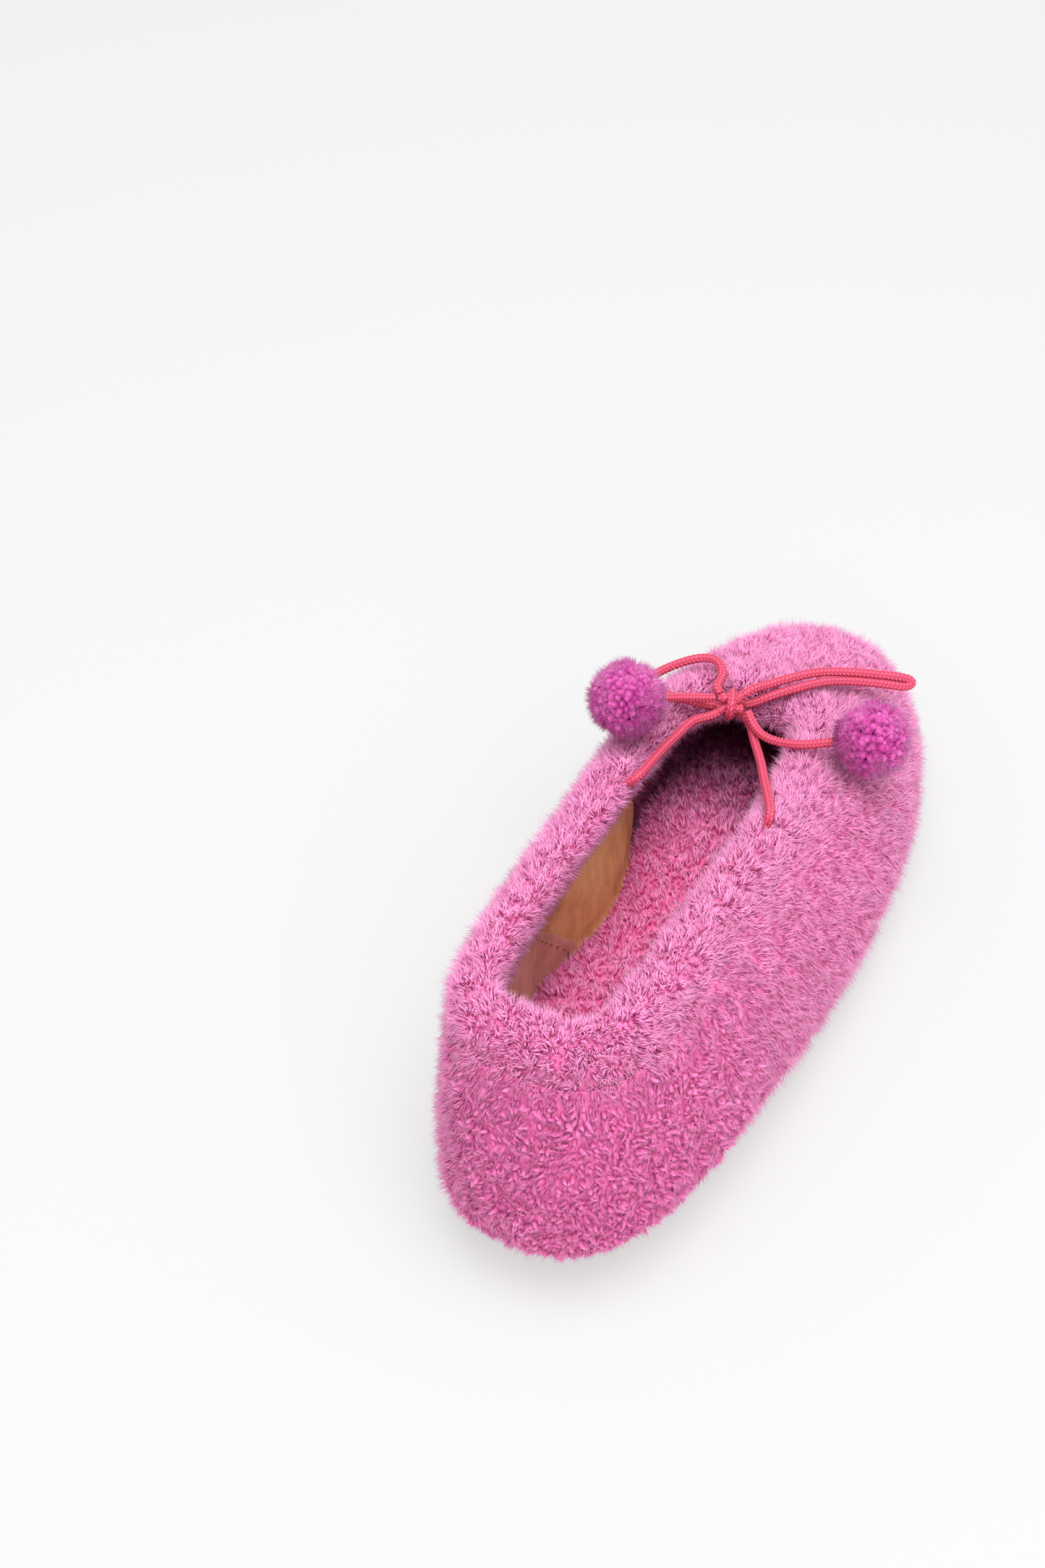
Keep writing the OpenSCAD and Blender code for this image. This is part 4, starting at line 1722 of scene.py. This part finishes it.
        def growth(u: float, s: float) -> Growth:
            """Trodden wool, combed towards the toe and, at the sides, outwards, its tone falling to painted
            shade under the vamp.

            Args:
                u: Share of the way from heel to toe.
                s: Share of the way from the medial to the lateral edge.

            Returns:
                The growth.
            """
            side = 2 * s - 1
            comb = Vector((0.5 * side**3, 0.25, 0))
            length = self.footbed_tuft * (1 - self.edge_trim * side**4)
            # painted shade: the tone falls from open_tone to 0 under the vamp
            tone = mix(self.open_tone, 0.0, ease((u - self.shade_from) / self.shade_span))
            cover = mix(1.0, self.toe_cover, ease((u - 0.7) / 0.2))
            return Growth(length, comb, self.footbed_curl, tone, cover)

        sheet = wool_sheet("footbed_wool", 24, 90, lambda u, s: place(s, u), lambda u, s: growth(s, u))
        Pile(skin=3.0, stray=0.8, cleft_shade=0.2, seed=22).grow(sheet, INSIDE_WOOL_WITH_SHADE)
        dress(sheet, INSIDE_WOOL_WITH_SHADE, Body.SLIPPER, "footbed_shearling")

    def build(self) -> None:
        """Makes the inside."""
        self.shell("quarter_lining_leather", self.lining_ends, 1.0, 0.0, TAN, "quarter_lining")
        grip_depth = LAYERS.lining + LAYERS.gap
        self.shell("heel_grip_suede", self.grip_ends, self.grip_row, grip_depth, SUEDE, "heel_grip")
        self.seams()
        self.toe_wool()
        self.footbed()


@dataclass
class Sole:
    """Outsole and stacked heel: the frame's solids with worn edges."""

    rounding: float = 0.5
    pieces: dict[str, Finish] = field(
        default_factory=lambda: {
            "outsole": SOLE,
            "heel_lift_upper": STACK,
            "heel_lift_lower": STACK,
            "heel_tread_rubber": RUBBER,
            "heel_tread_leather": SOLE,
        }
    )
    hidden: dict[str, Finish] = field(
        default_factory=lambda: {
            "insole_board": BOARD,
            "shank": STEEL,
            "bottom_filler": BOARD,
            "footbed_foam": FOAM,
            "heel_counter": BOARD,
            "toe_puff": BOARD,
            "pom_tie_left": YARN_TIE,
            "pom_tie_right": YARN_TIE,
        }
    )

    def rounded(self, node: str, source: bpy.types.Object, finish: Finish) -> None:
        """A copy of a solid with its edges rounded.

        Args:
            node: The solid's name.
            source: The solid.
            finish: The copy's finish.
        """
        piece = Piece(node + "_worn")
        piece.bm.from_mesh(source.data)
        bmesh.ops.remove_doubles(piece.bm, verts=piece.bm.verts[:], dist=1e-6)
        bmesh.ops.dissolve_limit(
            piece.bm, angle_limit=math.radians(1), verts=piece.bm.verts[:], edges=piece.bm.edges[:]
        )
        sharp = [edge for edge in piece.bm.edges if edge.calc_face_angle(0) > math.radians(40)]
        bmesh.ops.bevel(
            piece.bm,
            geom=sharp,
            offset=self.rounding * MM,
            segments=3,
            profile=0.5,
            affect="EDGES",
            material=-1,
            clamp_overlap=True,
        )
        bmesh.ops.triangulate(piece.bm, faces=piece.bm.faces[:])
        dress(piece.build(), finish, Body.SLIPPER, node)

    def build(self, nodes: dict[str, bpy.types.Object]) -> None:
        """Makes the sole's pieces and dresses the hidden ones.

        Args:
            nodes: The frame's nodes.
        """
        for node, finish in self.pieces.items():
            self.rounded(node, nodes[node], finish)
        for node, finish in self.hidden.items():
            nodes[node].data.materials.clear()
            nodes[node].data.materials.append(finish.material())


@dataclass(frozen=True)
class Braid:
    """A braided tube along a line of points."""

    radius: float = 1.5 * MM
    step: float = 0.3 * MM
    sides: int = 24
    columns: int = 6
    pitch: float = 1.25 * MM
    relief: float = 0.14
    ease_passes: int = 90
    tip: float = 0.8 * MM
    weld: float = 1e-7
    splits: int = 24

    def smooth_line(self, points: Sequence[Vector]) -> list[Vector]:
        """Evenly spaced points of a smooth curve through given ones.

        Args:
            points: The route's points.

        Returns:
            Points of the curve, a step apart.
        """
        ends = [2 * points[0] - points[1], *points, 2 * points[-1] - points[-2]]
        fine: list[Vector] = []
        for p0, p1, p2, p3 in zip(ends, ends[1:], ends[2:], ends[3:]):
            for k in range(self.splits):
                s = k / self.splits
                fine.append(
                    0.5
                    * (
                        2 * p1
                        + (p2 - p0) * s
                        + (2 * p0 - 5 * p1 + 4 * p2 - p3) * s * s
                        + (3 * p1 - p0 - 3 * p2 + p3) * s**3
                    )
                )
        fine.append(points[-1].copy())
        lengths = [0.0]
        for a, b in zip(fine, fine[1:]):
            lengths.append(lengths[-1] + (b - a).length)
        count = max(8, round(lengths[-1] / self.step))
        line, k = [], 0
        for number in range(count + 1):
            want = lengths[-1] * number / count
            while k < len(fine) - 2 and lengths[k + 1] < want:
                k += 1
            span = max(lengths[k + 1] - lengths[k], 1e-9)
            line.append(fine[k].lerp(fine[k + 1], clamp((want - lengths[k]) / span)))
        return line

    def relaxed(self, line: Sequence[Vector]) -> list[Vector]:
        """The line with its sharpest bends eased, as a limp cord lies.

        Args:
            line: Evenly spaced points.

        Returns:
            As many points, with the same ends.
        """
        line = list(line)
        for _ in range(self.ease_passes):
            line[1:-1] = [(a + 2 * b + c) / 4 for a, b, c in zip(line, line[1:], line[2:])]
        return line

    def height(self, around: float, along: float) -> float:
        """Height of the braid's surface, from 0 in a groove to 1 on a yarn.

        Args:
            around: Share of the way around.
            along: Distance along the cord, in metres.

        Returns:
            The height.
        """
        column = around * self.columns
        across = column % 1
        slope = 1 if int(column) % 2 else -1
        wave = 0.5 + 0.5 * math.cos(2 * math.pi * (along / self.pitch + 0.7 * slope * across))
        return wave * math.sin(math.pi * across) ** 0.4

    def tube(self, piece: Piece, line: Sequence[Vector], taper: float = 0.0) -> None:
        """Adds the tube to a piece.

        Args:
            piece: The piece, which gets a braid attribute.
            line: Evenly spaced points.
            taper: Length of rounding at both ends, in metres.
        """
        layer = piece.layer("braid")
        last = len(line) - 1
        runs = [(line[min(last, i + 1)] - line[max(0, i - 1)]).normalized() for i in range(last + 1)]
        normals = [runs[0].orthogonal().normalized()]
        for run in runs[1:]:
            normals.append((normals[-1] - run * normals[-1].dot(run)).normalized())
        step = (line[1] - line[0]).length
        for vert in piece.flat(self.sides, last):
            u, i = vert.co.x % 1, round(vert.co.y * last)
            rise = self.height(u, i * step)
            near = min(i, last - i) * step
            round_off = math.sqrt(max(0.0, 1 - (1 - near / taper) ** 2)) if taper and near < taper else 1.0
            r = self.radius * (1 - self.relief + self.relief * rise) * max(round_off, 0.05)
            a = 2 * math.pi * u
            out = normals[i] * math.cos(a) + runs[i].cross(normals[i]) * math.sin(a)
            vert[layer] = rise
            vert.co = line[i] + r * out


@dataclass(frozen=True)
class Cord:
    """One free length of the drawcord."""

    name: str
    node: str
    body: Body
    points: Sequence[Vector]
    far_end: str
    lay: str


@dataclass
class Bow:
    """The drawcord, its leads, the knot, the loops and the tails."""

    braid: Braid = Braid()
    knot: Vector = field(default_factory=lambda: Vector((-14.0, 56.7, 56.0)))
    turn: float = 23.5
    knot_d: float = 8.8
    wrap_turn: float = 215.0
    wrap_side: float = 1.4
    cord_d: float = 3.0
    gap: float = 0.2
    swing_gap: float = 0.4
    cord_room: float = 0.6
    lead_turns: tuple[float, float] = (20.0, 90.0)
    lead_left: tuple[Spot, ...] = (
        (-25.2, 16, 61.4), (-24.8, 26, 59.2), (-23.5, 38, 56.8), (-22, 46, 55.6),
    )  # fmt: skip
    lead_right: tuple[Spot, ...] = ((9, 26.5, 59), (3.2, 38.5, 54.5), (-2.5, 48.5, 51.5))
    loop_left: tuple[Spot, ...] = (
        (-20.5, 65.5, 57.5), (-23.5, 71, 57.7), (-28, 72.8, 56.8), (-33, 71.3, 55.4), (-37.5, 69, 53.4),
        (-41.5, 66, 51.5), (-43, 61.5, 52), (-41, 55.5, 55), (-37, 51, 58), (-32, 49, 59.4),
        (-27.5, 50.3, 58.5), (-23.5, 53, 56.2),
    )  # fmt: skip
    loop_right: tuple[Spot, ...] = (
        (-7, 67, 58), (-1, 73.5, 58), (6, 80.5, 57.3), (15, 86.5, 55.7), (24, 91.5, 53.7), (30.5, 95, 52),
        (33.5, 96, 50.5), (31.5, 93.5, 49.8), (25, 89.5, 52), (16, 84.5, 54), (8.5, 79, 55.5),
        (1.5, 71.5, 56.2), (-5, 66, 54.8),
    )  # fmt: skip
    tail_left: tuple[Spot, ...] = ((-22.5, 50.5, 61), (-26.5, 46, 63.4))
    tail_right: tuple[Spot, ...] = (
        (-4, 51.7, 54.6), (1, 48.5, 55), (7, 47, 56.7), (13.5, 46.5, 59), (19.5, 48, 61),
    )  # fmt: skip
    pom_left: Spot = (-37.5, 28, 74)
    pom_right: Spot = (34, 51.5, 65.5)

    def way(self, across: float, ahead: float, up: float) -> Vector:
        """A direction from the knot: across the bow, towards the toe and up.

        Args:
            across: Share across.
            ahead: Share towards the toe.
            up: Share upwards.

        Returns:
            The direction, one unit long.
        """
        flat = Vector((across, ahead, 0))
        flat.rotate(Matrix.Rotation(math.radians(self.turn), 3, "Z"))
        return Vector((flat.x, flat.y, up)).normalized()

    def stub(self, way: Vector) -> list[Vector]:
        """Points where a fixed cord leaves the knot, outwards."""
        return [self.knot + way * (self.knot_d / 2 + self.gap + h) for h in (0, self.cord_d)]

    def lead(self, slot: float, turn: float, route: Sequence[Spot], way: Vector) -> list[Vector]:
        """Route of a lead, from the drawcord's channel through the slot to the knot.

        Args:
            slot: Angle of its slot.
            turn: How far up it leaves the slot, in degrees.
            route: Points between slot and knot.
            way: Side of the knot that it reaches.

        Returns:
            The route's points.
        """
        reach = LAYERS.wool + self.cord_d
        a = math.radians(turn)
        out = LAST.at_topline(slot, reach * math.cos(a), reach * math.sin(a))
        channel = LAST.at_topline(slot, 0, self.cord_d / 2 + self.cord_room + self.gap)
        start = channel + (self.cord_d / 2 + self.gap) * (out - channel).normalized()
        return [start, (start + out) / 2, out, *map(Vector, route), *reversed(self.stub(way))]

    def tail(self, way: Vector, route: Sequence[Spot], pom: Spot) -> list[Vector]:
        """Route of a tail, from beside the knot into its pom-pom.

        Args:
            way: Side of the knot that it leaves.
            route: Points on the way.
            pom: Middle of its pom-pom.

        Returns:
            The route's points.
        """
        start = self.knot + way * (self.knot_d / 2 + self.swing_gap + self.cord_d / 2)
        points, end = [Vector(p) for p in route], Vector(pom)
        into = (end - points[-1]).normalized()
        return [start, *points, end - into * POM_D / 2, end]

    def cords(self) -> list[Cord]:
        """The six free lengths.

        Returns:
            Leads, loops and tails.
        """
        lateral, medial = SLOTS
        right_turn, left_turn = self.lead_turns
        loop_l = [*self.stub(self.way(-0.7, 0.7, 0.35)), *map(Vector, self.loop_left)]
        loop_r = [*self.stub(self.way(0.8, 0.4, 0.5)), *map(Vector, self.loop_right)]
        loop_l += reversed(self.stub(self.way(-0.9, 0.2, -0.3)))
        loop_r += reversed(self.stub(self.way(0.8, 0.45, -0.4)))
        lead_l = self.lead(medial, left_turn, self.lead_left, self.way(-0.8, -0.55, -0.15))
        lead_r = self.lead(lateral, right_turn, self.lead_right, self.way(0.8, -0.45, -0.55))
        tail_l = self.tail(self.way(-0.85, -0.1, 0.55), self.tail_left, self.pom_left)
        tail_r = self.tail(self.way(0.75, -0.6, 0.2), self.tail_right, self.pom_right)
        return [
            Cord("lead_left_cord", "cord_lead_left", Body.SLIPPER, lead_l, "knot", "taut"),
            Cord("lead_right_cord", "cord_lead_right", Body.SLIPPER, lead_r, "knot", "taut"),
            Cord("loop_left_cord", "bow_loop_left", Body.SLIPPER, loop_l, "knot", "loose"),
            Cord("loop_right_cord", "bow_loop_right", Body.SLIPPER, loop_r, "knot", "loose"),
            Cord("tail_left_cord", "cord_tail_left", Body.TAIL_LEFT, tail_l, "object", "loose"),
            Cord("tail_right_cord", "cord_tail_right", Body.TAIL_RIGHT, tail_r, "object", "loose"),
        ]

    def free_cord(self, cord: Cord) -> None:
        """Makes one free length.

        Args:
            cord: The length to make.
        """
        line = self.braid.relaxed(self.braid.smooth_line([point * MM for point in cord.points]))
        piece = Piece(cord.name)
        self.braid.tube(piece, line, taper=self.braid.tip)
        piece.weld(self.braid.weld)
        made = dress(piece.build(), CORAL, cord.body, cord.node)
        length = sum((b - a).length for a, b in zip(line, line[1:]))
        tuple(line[0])

    def knot_strands(self) -> list[list[Vector]]:
        """Lines of the strands that show in the knot: a wrap and what it holds.

        Returns:
            The lines' points.
        """
        across, up = self.way(1, 0, 0), Vector((0, 0, 1))
        ahead = up.cross(across)
        ring = self.knot_d / 2
        tilted = 0.92 * up - 0.39 * ahead
        wrap, last = [], 32
        for number in range(last + 1):
            a = math.radians(mix(-self.wrap_turn, self.wrap_turn, number / last))
            side = across * mix(-self.wrap_side, self.wrap_side, number / last)
            wrap.append(self.knot + side + ring * (math.cos(a) * tilted + math.sin(a) * ahead))
        ties = (
            ((-0.8, -0.55, -0.15), (0.8, 0.4, 0.5), (0.5, 0.6, 0.9)),
            ((-0.7, 0.7, 0.35), (0.8, -0.45, -0.55), (-0.5, 0.4, -0.9)),
            ((-0.9, 0.2, -0.3), (0.75, -0.6, 0.2), (0.0, -1.4, 0.4)),
            ((-0.85, -0.1, 0.55), (0.8, 0.45, -0.4), (0.2, -0.3, 2.0)),
        )
        held = []
        for start, end, middle in ties:
            a, b = self.way(*start) * (ring + 0.6), self.way(*end) * (ring + 0.6)
            held.append([self.knot + p for p in (a, a * 0.5 + Vector(middle), b * 0.5 + Vector(middle), b)])
        return [wrap, *held]

    def build(self) -> None:
        """Makes the cords, the knot and the length in the channel."""
        for cord in self.cords():
            self.free_cord(cord)
        piece = Piece("bow_knot_strands")
        for strand in self.knot_strands():
            line = self.braid.smooth_line([point * MM for point in strand])
            self.braid.tube(piece, line, taper=self.braid.tip)
        piece.weld(self.braid.weld)
        dress(piece.build(), CORAL, Body.SLIPPER, "bow_knot")
        lateral, medial = SLOTS
        depth = self.cord_d / 2 + self.cord_room + self.gap
        channel = [LAST.at_topline(mix(medial, 360 + lateral, k / 60), 0, depth) * MM for k in range(61)]
        piece = Piece("channel_cord")
        plain = Braid(step=1.0 * MM, sides=12, relief=0.0)
        plain.tube(piece, plain.smooth_line(channel))
        piece.weld(plain.weld)
        dress(piece.build(), CORAL, Body.SLIPPER, "drawcord")


@dataclass
class PomPom:
    """A ball of cut yarn on a cord's end."""

    name: str
    body: Body
    centre: Vector
    seed: int
    tuft: float = 4.2
    sunk: float = 1.0
    tone: float = 0.55

    def build(self) -> None:
        """Makes the ball."""
        core = POM_D / 2 - self.sunk * self.tuft

        def place(u: float, s: float) -> Vector:
            """Point of the core's surface.

            Args:
                u: Share of the way around.
                s: Share of the way up.

            Returns:
                The point, in metres.
            """
            a, b = 2 * math.pi * u, math.pi * (s - 0.5)
            out = Vector((math.cos(a) * math.cos(b), math.sin(a) * math.cos(b), math.sin(b)))
            return (self.centre + core * out) * MM

        grown = Growth(self.tuft, Vector((0, 0, 0)), 1.0, self.tone)
        sheet = wool_sheet(self.name + "_yarn", 48, 24, place, lambda u, s: grown)
        pile = Pile(
            budget=60_000,
            cell=3.5,
            swirl=0.8,
            gather=(0.3, 0.3),
            relief=0.6,
            cleft_shade=0.35,
            clump=0.1,
            stray=0.3,
            frizz=0.4,
            skin=1.0,
            seed=self.seed,
            straight=END,
            curled=END,
        )
        pile.grow(sheet, YARN)
        dress(sheet, YARN, self.body, self.name)


@dataclass
class Studio:
    """Camera, floor and light."""

    azimuth: float = 24.847
    elevation: float = 45.878
    distance: float = 0.9042
    aim_right: float = 0.0541
    aim_up: float = 0.0553
    lens: float = 66.42
    floor_side: float = 6.0
    floor_shown: Colour = srgb(124, 124, 124)
    floor_lit: Colour = srgb(238, 238, 238)
    floor_glow: float = 0.55
    sky: float = 0.95
    lamps: tuple[tuple[str, Spot, float, float], ...] = (
        ("key", (0.1, -0.1, 1.4), 1.0, 20.0),
        ("fill", (0.5, -0.8, 1.1), 1.2, 9.0),
    )

    def camera(self) -> None:
        """Places the camera at the photograph's angle."""
        a, e = math.radians(self.azimuth), math.radians(self.elevation)
        back = Vector((math.sin(a) * math.cos(e), -math.cos(a) * math.cos(e), math.sin(e)))
        right = Vector((math.cos(a), math.sin(a), 0))
        up = back.cross(right)
        data = bpy.data.cameras.new("camera")
        data.lens = self.lens
        data.sensor_width = 36
        data.clip_start = 0.01
        camera = bpy.data.objects.new("camera", data)
        camera.matrix_world = Matrix.Translation(
            back * self.distance - right * self.aim_right + up * self.aim_up
        ) @ Matrix((right, up, back)).transposed().to_4x4()
        bpy.context.scene.camera = put(camera)

    def floor(self) -> None:
        """Lays the floor, which glows a little for the camera so that it is white away from the shadow."""
        piece = Piece("floor")
        piece.grid(1, 1, lambda u, v: Vector((u - 0.5, v - 0.5, 0)) * self.floor_side)
        floor = piece.build()
        made = bpy.data.materials.new("pale_floor")
        graph = Graph.of(made)
        seen = graph.add("ShaderNodeLightPath", {}, {}, "Is Camera Ray")
        shown = seen.maths("MAXIMUM", seen.other("Is Glossy Ray")).maths(
            "MAXIMUM", seen.other("Is Transmission Ray")
        )
        tint = graph.blend(shown, self.floor_lit, self.floor_shown)
        matte = graph.add("ShaderNodeBsdfDiffuse", {}, {"Color": tint})
        strength = shown * self.floor_glow
        glow = graph.add("ShaderNodeEmission", {}, {"Color": (1, 1, 1, 1), "Strength": strength})
        both = graph.add("ShaderNodeAddShader", {}, {0: matte, 1: glow})
        graph.add("ShaderNodeOutputMaterial", {}, {"Surface": both})
        floor.data.materials.append(made)

    def lamp(self, name: str, place: Spot, size: float, power: float) -> None:
        """Adds a square soft lamp that faces the slipper.

        Args:
            name: Its name.
            place: Where it hangs, in metres.
            size: Length of its sides, in metres.
            power: Its power, in watts.
        """
        data = bpy.data.lights.new(name, "AREA")
        data.size = size
        data.energy = power
        lamp = bpy.data.objects.new(name, data)
        lamp.location = place
        lamp.rotation_euler = (-Vector(place)).to_track_quat("-Z", "Y").to_euler()
        put(lamp)

    def light(self) -> None:
        """Lights the slipper softly from above."""
        world = bpy.data.worlds.new("studio")
        bpy.context.scene.world = world
        graph = Graph.of(world)
        sky = graph.add("ShaderNodeBackground", {}, {"Color": (1, 1, 1, 1), "Strength": self.sky})
        graph.add("ShaderNodeOutputWorld", {}, {"Surface": sky})
        for lamp in self.lamps:
            self.lamp(*lamp)
        bpy.context.scene.view_settings.view_transform = "Standard"


def main() -> None:
    """Builds the slipper's looks around the frame."""
    logging.basicConfig(level=logging.INFO, format="%(message)s")
    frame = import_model()
    studio = Studio()
    studio.camera()
    bow = Bow()
    bow.build()
    PomPom("pom_left", Body.POM_LEFT, Vector(bow.pom_left), seed=31).build()
    PomPom("pom_right", Body.POM_RIGHT, Vector(bow.pom_right), seed=32).build()
    Sole().build(frame["nodes"])
    Inside().build()
    Upper().build()
    studio.floor()
    studio.light()


if __name__ == "__main__":
    main()
